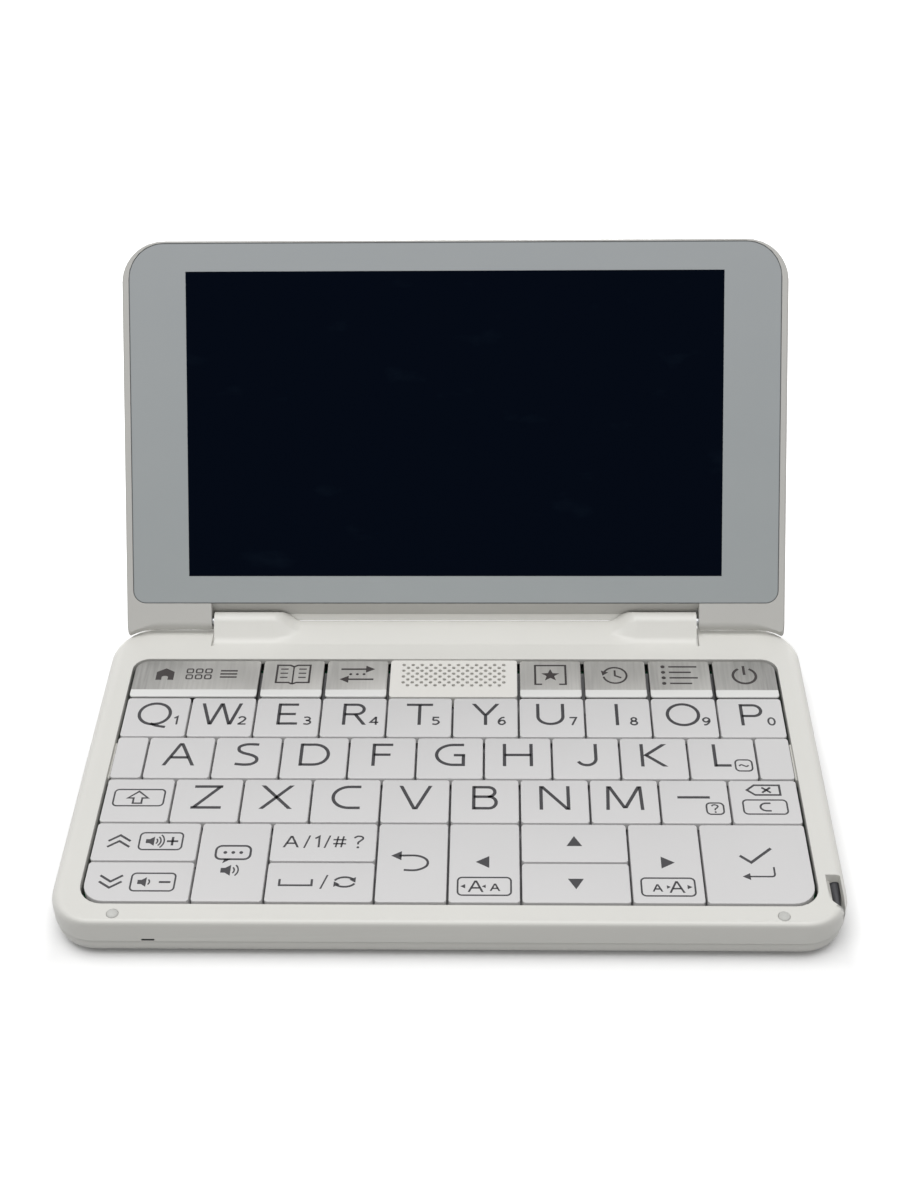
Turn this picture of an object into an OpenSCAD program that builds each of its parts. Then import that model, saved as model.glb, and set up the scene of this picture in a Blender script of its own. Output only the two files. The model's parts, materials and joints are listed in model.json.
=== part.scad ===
// Clamshell electronic dictionary, shown open at its rest angle.
// Millimetres, +Z up, X to the right, the keyboard faces -Y. The origin lies on the
// surface that the four feet stand on, under the middle of the open dictionary.
// Inside the Hidden section "deck" means the flat top face of the base, and the deck
// frame has x = 0 in the middle of the keyboard, y = 0 at its rear edge, z = 0 on the deck.
// "Lid frame" means origin on the hinge axis, y along the lid, z out of the screen.

/* [Base] */
// Width of the deck beside the keyboard
rail_w = 6.15; // [5.6:0.05:9.8]
// Distance from the rear edge of the keyboard to the front of the base
base_front = 77; // [75.5:0.5:82]
// Distance from the rear edge of the keyboard to the back of the base
base_rear = 12.6; // [12.2:0.1:14]
// Height of the base from its underside to the deck
base_h = 10; // [9.6:0.1:13]
// Height of the upper half of the base
upper_h = 5.75; // [5.6:0.05:6.2]
// Thickness of the side and end walls
wall_t = 1.6; // [1.2:0.1:2]
// Thickness of the deck
deck_t = 1.5; // [1.2:0.1:1.8]
// Thickness of the floor
floor_t = 1.4; // [1:0.1:1.8]
// Plan radius of the front corners
front_corner_r = 9; // [7.5:0.5:12]
// Plan radius of the rear corners
rear_corner_r = 11; // [10:0.5:13]
// How far the rounded deck edge reaches in from the sides
side_round = 2.1; // [1:0.1:2.4]
// How far the rounded deck edge reaches in from the front
front_round = 0.8; // [0.6:0.1:2]
// How far the rounded deck edge reaches down at the front
front_drop = 0.9; // [0.5:0.1:2]
// How far the rounded deck edge reaches in from the back
rear_round = 2.5; // [1.5:0.1:3]
// Radius of the rounded edge round the underside
bottom_round = 2.8; // [1.5:0.1:3]
// Height of each foot below the underside
foot_h = 0.8; // [0.5:0.1:1.5]
// Radius of each foot
foot_r = 4; // [3:0.25:5]
// Radius of the two lid stops on the front edge
stop_r = 1.15; // [0.8:0.05:1.3]

/* [Keyboard] */
// Width of one key column
key_pitch = 14.43; // [14:0.01:14.5]
// Depth of the row of function keys
fn_row_d = 12.71; // [12:0.01:13]
// Depth of each row of letter keys
letter_row_d = 12.65; // [12:0.01:13]
// Depth of each of the two front rows
nav_row_d = 10.63; // [10:0.01:11]
// Gap between neighbouring keys
key_gap = 0.46; // [0.35:0.01:0.7]
// Height of a key cap
cap_h = 2; // [1.7:0.1:2.2]
// How far a key goes down
key_travel = 0.8; // [0.4:0.1:0.9]
// Corner radius of an ordinary key
key_corner_r = 0.7; // [0.3:0.1:1.2]
// Offset of the middle letter row, as a share of a column
stagger = 0.48; // [0.4:0.01:0.55]
// Radius of the post under a key cap
post_r = 1.5; // [1.2:0.1:1.8]
// Diameter of one speaker hole
speaker_hole_d = 0.8; // [0.5:0.05:1]

/* [Lid] */
// Width of the lid beside the visible screen
lid_side = 14.45; // [12:0.05:16]
// Distance from the hinge axis to the free edge of the lid
lid_len = 86.5; // [86:0.1:88]
// Thickness of the lid
lid_t = 5.5; // [5.4:0.1:6.5]
// Plan radius of the corners at the free edge
lid_corner_r = 9.5; // [6:0.5:12]
// Angle between lid and base in the rest pose, 180 is flat
lid_open = 125; // [118:1:138]
// Gap between the closed lid and the deck
lid_gap = 0.6; // [0.5:0.05:1]
// Width of the rim beside the cover glass
rim_w = 1.6; // [1.6:0.1:4]
// Length of the cover glass along the lid
glass_l = 81.6; // [78:0.1:81.6]
// Thickness of the cover glass
glass_t = 0.7; // [0.5:0.1:0.8]
// Width of the visible screen
screen_w = 121.8; // [110:0.1:124]
// Length of the visible screen along the lid
screen_l = 69.1; // [60:0.1:70]

/* [Hinge] */
// Distance from the rear edge of the keyboard to the hinge axis
hinge_y = 10.54; // [10.3:0.02:10.7]
// Distance from the hinge axis to the face of the cover glass
hinge_drop = 1.99; // [1.9:0.01:2.1]
// Radius of the knuckle barrels
barrel_r = 2.1; // [1.9:0.05:2.15]
// Radius of the steel hinge shafts
shaft_r = 1; // [0.8:0.05:1.1]
// Half the distance over the outer ends of the knuckles
knuckle_out = 55.3; // [53:0.1:57]
// Length of each knuckle barrel
knuckle_l = 13.4; // [11:0.1:16]
// Slope of the front of the knuckles, degrees
ramp_slope = 55; // [52:1:56]

/* [Stylus] */
// Radius of the stylus
stylus_r = 1.1; // [0.9:0.05:1.3]
// Length of the tapered tip of the stylus
tip_l = 8; // [4:0.5:10]
// Clearance between stylus and silo
stylus_gap = 0.1; // [0.08:0.01:0.15]
// Wall between the silo and the side of the base
silo_wall = 0.6; // [0.5:0.1:1]
// Width of the finger shelf beside the stylus
shelf_w = 0.9; // [0.6:0.1:1.6]
// Depth of the finger shelf below the deck
shelf_depth = 1.7; // [1:0.1:2]

/* [Hidden] */
$fn = 48;
clear = 0.1; // clearance between fixed neighbours
knuckle_gap = 0.3; // running clearance round the barrels
shaft_gap = 0.04; // running clearance round the shafts
slit_w = 0.55; // slit beside each knuckle
eps = 0.05; // overlap of solids joined into one

// Heights in the deck frame
base_z = -base_h;
floor_z = base_z + floor_t;
split_z = -upper_h;
cap_z = -cap_h;
travel_gap = 0.3;
dome_z = cap_z - key_travel - travel_gap;
sheet_z = dome_z - 0.9;
sheet_t = 0.8;
well_z = sheet_z - 0.4;
post_z = dome_z - 0.25;
board_z = sheet_z - sheet_t;
board_t = 1;
board_under_z = board_z - board_t;

// Keyboard rows, rear edge first
row_y = [
    0,
    -fn_row_d,
    -fn_row_d - letter_row_d,
    -fn_row_d - 2 * letter_row_d,
    -fn_row_d - 3 * letter_row_d,
    -fn_row_d - 3 * letter_row_d - nav_row_d,
    -fn_row_d - 3 * letter_row_d - 2 * nav_row_d
];
columns = 10;
keys_w = columns * key_pitch;
base_w = keys_w + 2 * rail_w;
well_rear_r = 3.5; // corners of the keyboard well
well_front_r = 5;

// Every key: name, first and last column, first and last row
function letter_keys(names, first, row) =
    [for (i = [0:len(names) - 1]) [str("key_", names[i]), first + i, first + i + 1, row, row + 1]];
KEYS = concat(
    [
        ["key_home", 0, 2, 0, 1],
        ["key_dict_a", 2, 3, 0, 1],
        ["key_dict_b", 3, 4, 0, 1],
        ["key_my", 6, 7, 0, 1],
        ["key_history", 7, 8, 0, 1],
        ["key_list", 8, 9, 0, 1],
        ["key_power", 9, 10, 0, 1]
    ],
    letter_keys(["q", "w", "e", "r", "t", "y", "u", "i", "o", "p"], 0, 1),
    letter_keys(["a", "s", "d", "f", "g", "h", "j", "k", "l"], stagger, 2),
    letter_keys(["shift", "z", "x", "c", "v", "b", "n", "m", "dash", "delete"], 0, 3),
    [
        ["key_page_up", 0, 1.5, 4, 5],
        ["key_page_down", 0, 1.5, 5, 6],
        ["key_voice", 1.5, 2.5, 4, 6],
        ["key_mode", 2.5, 4, 4, 5],
        ["key_space", 2.5, 4, 5, 6],
        ["key_back", 4, 5, 4, 6],
        ["key_left", 5, 6, 4, 6],
        ["key_up", 6, 7.5, 4, 5],
        ["key_down", 6, 7.5, 5, 6],
        ["key_right", 7.5, 8.5, 4, 6],
        ["key_enter", 8.5, 10, 4, 6]
    ]
);
grille_columns = [4, 6]; // speaker panel in the function row

// Hinge and lid
hinge_z = lid_gap + hinge_drop;
lid_w = screen_w + 2 * lid_side;
glass_w = lid_w - 2 * rim_w;
lid_turn = 180 - lid_open;
glass_start = hinge_drop * 2.18; // lower edge of the glass, clear of the knuckle ramp
glass_corner_r = 8;
glass_foot_r = 2.8;
lid_back_z = hinge_drop - lid_t;
lid_split_z = -1.84; // joint between bezel and back shell
bezel_floor_t = 0.8;
bezel_wall = 1.5;
back_t = 1.2;
lid_back_round = 2.6;
glass_z = hinge_drop - glass_t;
screen_y = glass_start + glass_l / 2 - 0.1;
module_w = screen_w + 4.2;
module_l = screen_l + 4.4;
module_t = 2;
arm_in = knuckle_out + slit_w;
arm_full = lid_w / 2 - 0.3;
arm_grow = arm_full - 7; // where the arm ends start to grow towards the corners
leaf_t = 0.6;
leaf_in = module_w / 2 + 1.2;
shaft_in = knuckle_out - 10.5;
shaft_out = leaf_in + 1.65;
leaf_out = lid_w / 2 - 3;
leaf_l = 16;

// Hump between the knuckles
hump_blend = 6.5; // length of the curve from knuckle to scoop
scoop_front = 5;
scoop_end_angle = -38; // where the scoop meets the barrel circle
hump_end_angle = -58;
ramp_fillet = 2.6;
knuckle_in = knuckle_out - knuckle_l;

// Stylus
silo_r = stylus_r + stylus_gap;
stylus_x = base_w / 2 - silo_wall - silo_r;
stylus_z = -side_round - 0.7 - stylus_r / 2;
notch_front = base_front - 4.6;
notch_rear = base_front - 12.8;
notch_corner = 3.2; // size of the notch's slanting front corner
notch_right = stylus_x + silo_r - 0.4;

// Screws, feet and stops
screw_r = 0.8;
screw_l = 5;
head_r = 1.5;
head_h = 1.1;
boss_r = 2.4;
screw_seat_z = floor_z + 0.4;
screw_places = [[-46, 6.8], [0, 6.8], [46, 6.8]];
foot_x = base_w / 2 - 16;
foot_front_y = -base_front + 13;
foot_rear_y = base_rear - 10.6;
foot_recess = 0.5;
stop_x = 65;
stop_y = -base_front + 2.1;
stop_depth = 0.6;
stop_h = lid_gap - 0.1;

// Frame of the whole model
lid_top_y = lid_len - lid_back_round;
rearmost = hinge_y + lid_top_y * cos(lid_turn) - (lid_back_z + lid_back_round) * sin(lid_turn)
    + lid_back_round;
frame_y = (base_front - rearmost) / 2;
deck_z = foot_h + base_h;

// ---------- helpers ----------

module deck_frame() translate([0, frame_y, deck_z]) children();
module lid_frame() deck_frame() translate([0, hinge_y, hinge_z]) rotate([lid_turn, 0, 0]) children();
module along_x(x0, x1) translate([x0, 0, 0]) rotate([90, 0, 90]) linear_extrude(x1 - x0) children();

function arc(cx, cy, rx, ry, a0, a1, n) =
    [for (i = [0:n]) let (a = a0 + (a1 - a0) * i / n) [cx + rx * cos(a), cy + ry * sin(a)]];

// Rectangle with its own radius at each end, y1 is the rear
function plate_points(x0, x1, y0, y1, r0, r1, n = 6) = concat(
    arc(x1 - r0, y0 + r0, r0, r0, -90, 0, n),
    arc(x1 - r1, y1 - r1, r1, r1, 0, 90, n),
    arc(x0 + r1, y1 - r1, r1, r1, 90, 180, n),
    arc(x0 + r0, y0 + r0, r0, r0, 180, 270, n)
);
module plate(x0, x1, y0, y1, r0, r1, z0, z1, n = 6)
    translate([0, 0, z0]) linear_extrude(z1 - z0) polygon(plate_points(x0, x1, y0, y1, r0, r1, n));

// Outline of the base, drawn in by the given amounts
function case_points(side, front, rear) =
    let (
        x = base_w / 2 - side,
        f = -base_front + front,
        b = base_rear - rear,
        rf = front_corner_r,
        rb = rear_corner_r
    )
    concat(
        arc(x - rf + side, f + rf - front, rf - side, rf - front, -90, 0, 8),
        arc(x - rb + side, b - rb + rear, rb - side, rb - rear, 0, 90, 8),
        arc(-x + rb - side, b - rb + rear, rb - side, rb - rear, 90, 180, 8),
        arc(-x + rf - side, f + rf - front, rf - side, rf - front, 180, 270, 8)
    );
function case_ring(z, side, front, rear) = [for (p = case_points(side, front, rear)) [p[0], p[1], z]];

// One ring of points per station, closed into a solid. Looking back from the last
// station to the first, each ring runs anticlockwise.
module loft(rings) {
    n = len(rings[0]);
    m = len(rings);
    polyhedron(
        points = [for (r = rings) each r],
        faces = concat(
            [[for (i = [0:n - 1]) i]],
            [[for (i = [n - 1:-1:0]) (m - 1) * n + i]],
            [for (j = [0:m - 2], i = [0:n - 1]) let (k = (i + 1) % n)
                [j * n + k, j * n + i, (j + 1) * n + i]],
            [for (j = [0:m - 2], i = [0:n - 1]) let (k = (i + 1) % n)
                [j * n + k, (j + 1) * n + i, (j + 1) * n + k]]
        )
    );
}

function smooth(t) = let (c = max(0, min(1, t))) c * c * (3 - 2 * c);

// ---------- base ----------

// The front edge is rounded more tightly than the sides and the back
deck_steps = [0, 22.5, 45, 56, 67.5, 79, 90];
function front_in(z) = let (rise = max(0, 1 + z / front_drop)) front_round * (1 - sqrt(1 - rise * rise));
module upper_body() loft(concat(
    [case_ring(split_z, 0, 0, 0)],
    [for (a = deck_steps) let (z = side_round * (sin(a) - 1))
        case_ring(z, side_round * (1 - cos(a)), front_in(z), rear_round * (1 - cos(a)))]
));

round_steps = [for (i = [0:4]) 22.5 * i];
lower_inset = 0.25;
module lower_body() loft(concat(
    [for (i = [4:-1:0]) let (a = round_steps[i], in = lower_inset + bottom_round * (1 - cos(a)))
        case_ring(base_z + bottom_round * (1 - sin(a)), in, in, in)],
    [case_ring(split_z, lower_inset, lower_inset, lower_inset)]
));

// Profile of the hump at a knuckle and in the scoop, as points of y and z
barrel_at = [hinge_y, hinge_z];
ramp_foot = hinge_y - (barrel_r + hinge_z * cos(ramp_slope)) / sin(ramp_slope);
fillet_reach = ramp_fillet * tan(ramp_slope / 2);
knuckle_front = concat(
    arc(ramp_foot - fillet_reach, ramp_fillet - eps, ramp_fillet, ramp_fillet, -90, -90 + ramp_slope, 6),
    arc(hinge_y, hinge_z, barrel_r, barrel_r, 90 + ramp_slope, 90, 6)
);
scoop_top = barrel_at + barrel_r * [cos(scoop_end_angle), sin(scoop_end_angle)];
scoop_line = [
    for (i = [0:len(knuckle_front) - 1])
        let (s = i / (len(knuckle_front) - 1))
        [scoop_front + (scoop_top[0] - scoop_front) * s, -eps + (scoop_top[1] + eps) * s]
];
hump_rear_y = base_rear - eps;
hump_rear_z = hinge_z + (hump_rear_y - hinge_y) * tan(hump_end_angle);
hump_low_z = -side_round - 1;
slit_floor = -1.2;
function hump_ring(x, t) = let (
    front = [for (i = [0:len(knuckle_front) - 1]) scoop_line[i] * (1 - t) + knuckle_front[i] * t],
    back = [for (i = [1:8]) let (
        a = (90 * t + scoop_end_angle * (1 - t)) * (1 - i / 8) + hump_end_angle * i / 8
    ) barrel_at + barrel_r * [cos(a), sin(a)]],
    low = [[hump_rear_y, hump_rear_z], [hump_rear_y, hump_low_z], [scoop_front - 1, hump_low_z]],
    ring = concat(front, back, low)
) [for (i = [len(ring) - 1:-1:0]) [x, ring[i][0], ring[i][1]]];
blend_steps = 6;
hump_half = concat(
    [[knuckle_out + slit_w / 2, 1], [knuckle_in, 1]],
    [for (i = [1:blend_steps])
        [knuckle_in - hump_blend * i / blend_steps, 1 - smooth(i / blend_steps)]]
);
hump_stations = concat(
    [for (s = hump_half) [-s[0], s[1]]],
    [for (i = [len(hump_half) - 1:-1:0]) hump_half[i]]
);
module hump() loft([for (s = hump_stations) hump_ring(s[0], s[1])]);

module keyboard_well() plate(
    -keys_w / 2 - key_gap, keys_w / 2 + key_gap, row_y[6] - key_gap, key_gap / 2,
    well_front_r, well_rear_r, split_z - 1, 1
);

cavity_x = keys_w / 2 + key_gap + 0.6;
cavity_front = row_y[6] - key_gap - 0.5;
cavity_rear = base_rear - wall_t - 0.6;
module upper_cavity()
    plate(-cavity_x, cavity_x, cavity_front, cavity_rear, front_corner_r - 6,
        rear_corner_r - 5, split_z - 1, -deck_t);

// Fixed parts of the keyboard: the speaker panel and the two blank half pads
web_top = -1;
web_low = -3;
function col_x(c) = -keys_w / 2 + c * key_pitch;
pads_x = [[col_x(0), col_x(stagger)], [col_x(columns - 1 + stagger), col_x(columns)]];
module fixed_pads() {
    half = key_gap / 2;
    for (p = pads_x)
        plate(p[0] + half, p[1] - half, row_y[3] + half, row_y[2] - half,
            key_corner_r, key_corner_r, web_low, 0);
    for (s = [-1, 1])
        translate([s * (pads_x[1][1] + 1) - (s > 0 ? 2.5 : 0), row_y[3] + 1, web_low])
            cube([2.5, letter_row_d - 2, web_top - web_low]);
    plate(col_x(grille_columns[0]) + half, col_x(grille_columns[1]) - half,
        row_y[1] + half, row_y[0] - half, key_corner_r, key_corner_r, web_low, 0);
    translate([col_x(grille_columns[0]) + 1, -2, web_low])
        cube([2 * key_pitch - 2, 3.5, web_top - web_low]);
}

// Speaker holes: rows of twelve and eleven by turns
hole_rows = 8;
hole_columns = 12;
hole_dx = 2.044;
hole_dy = 0.976;
hole_rear_y = -1.77;
module speaker_holes() {
    for (r = [0:hole_rows - 1]) {
        odd = r % 2;
        for (c = [0:hole_columns - 1 - odd])
            translate([(c - (hole_columns - 1 - odd) / 2) * hole_dx, hole_rear_y - r * hole_dy,
                web_low - 1])
                cylinder(d = speaker_hole_d, h = 2 - web_low);
    }
}

module silo() {
    translate([stylus_x, -notch_front, stylus_z]) rotate([-90, 0, 0])
        cylinder(r = silo_r, h = notch_front + base_rear + 1);
    notch(stylus_x - silo_r, stylus_z);
    notch(stylus_x - silo_r - shelf_w, -shelf_depth);
}
// Opening over the stylus tip from x rightwards, down to z, with a slanting front corner
module notch(x, z) translate([0, 0, z]) linear_extrude(1 - z) polygon(concat(
    [[notch_right, -notch_rear], [x, -notch_rear]],
    arc(x + notch_corner, notch_corner - notch_front, notch_corner, notch_corner, 180, 240, 5),
    [[notch_right, -notch_front]]
));

module boss_at(p, r, z0, z1) translate([p[0], p[1], z0]) cylinder(r = r, h = z1 - z0);

module upper_case() color("#DEDDD9") deck_frame() {
    difference() {
        union() {
            difference() {
                union() {
                    upper_body();
                    hump();
                }
                upper_cavity();
                keyboard_well();
            }
            difference() {
                fixed_pads();
                speaker_holes();
            }
            for (p = screw_places) boss_at(p, boss_r, split_z, -deck_t + eps);
        }
        silo();
        for (p = screw_places) boss_at(p, screw_r + 0.02, split_z - 1, screw_seat_z + screw_l + 0.2);
        for (s = [-1, 1]) {
            translate([s * (shaft_in - 0.2), hinge_y, hinge_z]) rotate([0, s * 90, 0])
                cylinder(r = shaft_r + shaft_gap, h = knuckle_out);
            translate([s * (knuckle_out + slit_w / 2) - slit_w / 2, ramp_foot - fillet_reach, slit_floor])
                cube([slit_w, base_rear, 2 * hinge_z + barrel_r - slit_floor]);
            translate([s * stop_x, stop_y, -stop_depth]) cylinder(r = stop_r + clear / 2, h = 2);
        }
        translate([-mic_x, -base_front - 1, mic_z]) cube([mic_w, 3, mic_h]);
    }
}
mic_x = 59.7;
mic_w = 2.6;
mic_h = 0.6;
mic_z = split_z + 0.15;

// Socket for charging in the left side
port_y = -24;
port_w = 7.6;
port_h = 2.5;
port_l = 7.4;
port_x = -base_w / 2 + lower_inset + 0.6;
board_half = cavity_x - 0.3;
lower_cavity_x = base_w / 2 - wall_t - 0.7;
module lower_case() color("#D6D4D0") deck_frame() {
    difference() {
        union() {
            difference() {
                lower_body();
                plate(-lower_cavity_x, lower_cavity_x, -base_front + wall_t + 0.7,
                    base_rear - wall_t - 0.7, front_corner_r - 2, rear_corner_r - 2, floor_z, split_z + 1);
            }
            for (p = screw_places) boss_at(p, boss_r, floor_z - eps, split_z);
            for (p = board_posts) boss_at(p, post_support_r, floor_z - eps, board_under_z);
        }
        for (p = screw_places) {
            boss_at(p, screw_r + 0.15, base_z - 1, 0);
            boss_at(p, head_r + 0.1, base_z - 1, screw_seat_z);
        }
        for (x = [-foot_x, foot_x], y = [foot_front_y, foot_rear_y])
            boss_at([x, y], foot_r + clear / 2, base_z - 1, base_z + foot_recess);
        translate([-base_w / 2 - 1, port_y - port_w / 2 - clear, board_under_z - port_h - clear])
            cube([base_w / 2 + 1 - lower_cavity_x + 1, port_w + 2 * clear, port_h + 2 * clear]);
    }
}
post_support_r = 1.8;
board_posts = [
    for (x = [6.9 - board_half, board_half - 6.9], y = [row_y[6] + 8, (row_y[6]) / 2, row_y[0] - 5]) [x, y]
];

module rubber_pads() color("#E4E4E2") deck_frame() {
    for (x = [-foot_x, foot_x], y = [foot_front_y, foot_rear_y])
        boss_at([x, y], foot_r, base_z - foot_h, base_z + foot_recess);
    for (s = [-1, 1]) translate([s * stop_x, stop_y, -stop_depth]) rotate_extrude() polygon(
        concat(
            [[0, 0], [stop_r, 0], [stop_r, stop_depth]],
            arc(0, stop_depth, stop_r, stop_h, 10, 90, 6)
        )
    );
}

module case_screws() color("#8C8E90") deck_frame() for (p = screw_places) {
    difference() {
        boss_at(p, head_r, screw_seat_z - head_h, screw_seat_z);
        translate([p[0], p[1], screw_seat_z - head_h - 0.1]) for (a = [0, 90]) rotate([0, 0, a])
            cube([2, 0.5, 1.2], center = true);
    }
    boss_at(p, screw_r, screw_seat_z - eps, screw_seat_z + screw_l);
}

speaker_l = 2 * key_pitch - 3.4;
speaker_w = fn_row_d - 3;
module key_sheet() color("#5E5F62") deck_frame() difference() {
    union() {
        plate(-keys_w / 2, keys_w / 2, row_y[6] + 0.2, -0.2, well_front_r, well_rear_r,
            board_z, sheet_z);
        for (k = KEYS) for (p = post_places(k)) boss_at(p, post_r + 1.4, sheet_z - eps, dome_z);
    }
    for (k = KEYS) for (p = post_places(k)) boss_at(p, post_r + 0.25, well_z, 0);
    translate([-speaker_l / 2 - 0.4, row_y[1] + 1, board_z - 1]) cube([speaker_l + 0.8, fn_row_d - 2, 3]);
}

module main_board() color("#1F6B45") deck_frame() {
    plate(-board_half, board_half, row_y[6] + 1, 1.5, 3, 3, board_under_z, board_z);
    for (c = chips) translate([c[0] - c[2] / 2, c[1] - c[3] / 2, board_under_z - c[4]])
        cube([c[2], c[3], c[4]]);
    translate([port_x, port_y - port_w / 2, board_under_z - port_h]) difference() {
        cube([port_l, port_w, port_h]);
        translate([-1, 0.35, 0.35]) cube([port_l - 1, port_w - 0.7, port_h - 0.7]);
    }
    plate(-speaker_l / 2, speaker_l / 2, row_y[1] + 1.5, row_y[1] + 1.5 + speaker_w,
        2, 2, board_z, web_low - 0.1);
}
// Chips on the underside: centre x, centre y, size x, size y, height
chips = [[44, -12, 14, 14, 1.2], [22, -10, 9, 9, 1], [44, -32, 12, 8, 1.1], [-50, -20, 10, 10, 1.2]];

battery_w = 62;
battery_l = 42;
battery_h = board_under_z - floor_z - 0.3;
module battery() color("#3A3D45") deck_frame()
    plate(-battery_w / 2 - 8, battery_w / 2 - 8, row_y[6] + 6, row_y[6] + 6 + battery_l,
        1.5, 1.5, floor_z, floor_z + battery_h);

module stylus() color("#4C4C50") deck_frame() intersection() {
    translate([stylus_x, -notch_front + 0.5, stylus_z]) rotate([-90, 0, 0]) rotate_extrude() polygon([
        [0, 0], [0.3, 0], [0.4, 0.2], [stylus_r, tip_l], [stylus_r, 2 * base_front], [0, 2 * base_front]
    ]);
    translate([0, 0, -20]) linear_extrude(30) polygon(case_points(0.1, 0, 0.1));
}

// ---------- keys ----------

function key_x0(k) = col_x(k[1]) + key_gap / 2;
function key_x1(k) = col_x(k[2]) - key_gap / 2;
function key_y0(k) = row_y[k[4]] + key_gap / 2;
function key_y1(k) = row_y[k[3]] - key_gap / 2;

// A wide key stands on two posts, any other key on one
function post_places(k) = let (
    x = (key_x0(k) + key_x1(k)) / 2,
    y = (key_y0(k) + key_y1(k)) / 2,
    wide = k[2] - k[1] > 1.2
) wide ? [[x - key_pitch / 2.8, y], [x + key_pitch / 2.8, y]] : [[x, y]];

// Corner radii of a cap: the four outer keys follow the corners of the well
function cap_radii(k) = let (
    left = k[1] == 0,
    right = k[2] == columns,
    rear = k[3] == 0,
    front = k[4] == 6,
    r = key_corner_r
) [
    front && left ? well_front_r - key_gap : r,
    front && right ? well_front_r - key_gap : r,
    rear && right ? well_rear_r - key_gap : r,
    rear && left ? well_rear_r - key_gap : r
];
function cap_points(k) = let (
    x0 = key_x0(k), x1 = key_x1(k), y0 = key_y0(k), y1 = key_y1(k), r = cap_radii(k)
) concat(
    arc(x0 + r[0], y0 + r[0], r[0], r[0], 180, 270, 4),
    arc(x1 - r[1], y0 + r[1], r[1], r[1], 270, 360, 4),
    arc(x1 - r[2], y1 - r[2], r[2], r[2], 0, 90, 4),
    arc(x0 + r[3], y1 - r[3], r[3], r[3], 90, 180, 4)
);
module keycap(k) color(k[3] == 0 ? "#C4C3C3" : "#DAD8DE") deck_frame() {
    translate([0, 0, cap_z]) linear_extrude(cap_h) polygon(cap_points(k));
    for (p = post_places(k)) boss_at(p, post_r, post_z, cap_z + eps);
}

// ---------- lid, in the lid frame ----------

// Radius of the rounded lower end at station x: it grows where the base corner falls away
end_r_max = -lid_back_z - 0.02;
function end_r(x) = let (s = max(0, min(1, (abs(x) - arm_grow) / (arm_full - arm_grow))))
    hinge_drop + (end_r_max - hinge_drop) * pow(s, 2.5);

side_r = 2.6;
lower_r = 1.2;
end_edge = 0.6;
front_edge = 0.35;
function lid_ring(x) =
    let (
        ax = abs(x),
        half = lid_w / 2,
        // shrinking of the section near the rounded side
        side_in = max(0, ax - half + side_r),
        back_rise = side_r - sqrt(max(0, side_r * side_r - side_in * side_in)),
        front_in = max(0, ax - half + front_edge),
        front_fall = front_edge - sqrt(max(0, front_edge * front_edge - front_in * front_in)),
        corner_in = max(0, ax - half + lid_corner_r),
        top = lid_len - lid_corner_r
            + sqrt(max(0.01, lid_corner_r * lid_corner_r - corner_in * corner_in)),
        fz = hinge_drop - front_fall,
        bz = lid_back_z + back_rise,
        end_in = max(0, ax - half + end_edge),
        reach = end_r(x) - end_edge + sqrt(max(0, end_edge * end_edge - end_in * end_in)),
        r1 = min(reach, -bz - 0.02),
        c2 = [lower_r, bz + lower_r],
        turn = atan2(c2[1], c2[0]) - acos((r1 - lower_r) / norm(c2)),
        start = 180 - asin(min(1, fz / r1)),
        tr = min(lid_back_round, 0.6 * (fz - bz)),
        ring = concat(
            arc(0, 0, reach, max(r1, fz), start, 180, 3),
            [for (i = [1:5]) let (a = 180 + (180 + turn) * i / 5)
                [(a < 270 ? reach : r1) * cos(a), r1 * sin(a)]],
            arc(c2[0], c2[1], lower_r, lower_r, turn, -90, 3),
            arc(top - tr, bz + tr, tr, tr, -90, 0, 5),
            arc(top - front_edge, fz - front_edge, front_edge, front_edge, 0, 90, 2)
        )
    ) [for (p = ring) [x, p[0], p[1]]];
lid_steps = [0, 0.02, 0.15, 0.4, 0.8, 1.3, 1.9, 2.6, 3.5, 4.5, 6, 8, 10, 12, 14.5];
lid_stations = concat(
    [for (s = lid_steps) -lid_w / 2 + s + 0.001],
    [for (i = [len(lid_steps) - 1:-1:0]) lid_w / 2 - lid_steps[i] - 0.001]
);
module lid_body() loft([for (x = lid_stations) lid_ring(x)]);

// Space for the knuckles: in front it slopes like their ramps, round them it is a barrel
cut_r = barrel_r + knuckle_gap;
cut_touch = ramp_slope - 90;
cut_front = cut_r / cos(cut_touch) + hinge_drop * tan(90 - ramp_slope);
module knuckle_space() along_x(-arm_in, arm_in) polygon(concat(
    [[cut_front + 0.7 * tan(90 - ramp_slope), hinge_drop + 0.7]],
    arc(0, 0, cut_r, cut_r, cut_touch, -90, 10),
    [[0, -2 * lid_t], [-2 * lid_t, -2 * lid_t], [-2 * lid_t, hinge_drop + 0.7]]
));

cavity_y0 = glass_start + 1.4;
cavity_y1 = lid_len - bezel_wall - 0.4;
cavity_half = lid_w / 2 - bezel_wall - 0.4;
module lid_cavity(z0, z1) plate(-cavity_half, cavity_half, cavity_y0, cavity_y1,
    2, lid_corner_r - 1.5, z0, z1);

module glass_plate(grow, z0, z1) plate(
    -glass_w / 2 - grow, glass_w / 2 + grow, glass_start - grow, glass_start + glass_l + grow,
    glass_foot_r + grow, glass_corner_r + grow, z0, z1
);

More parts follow.
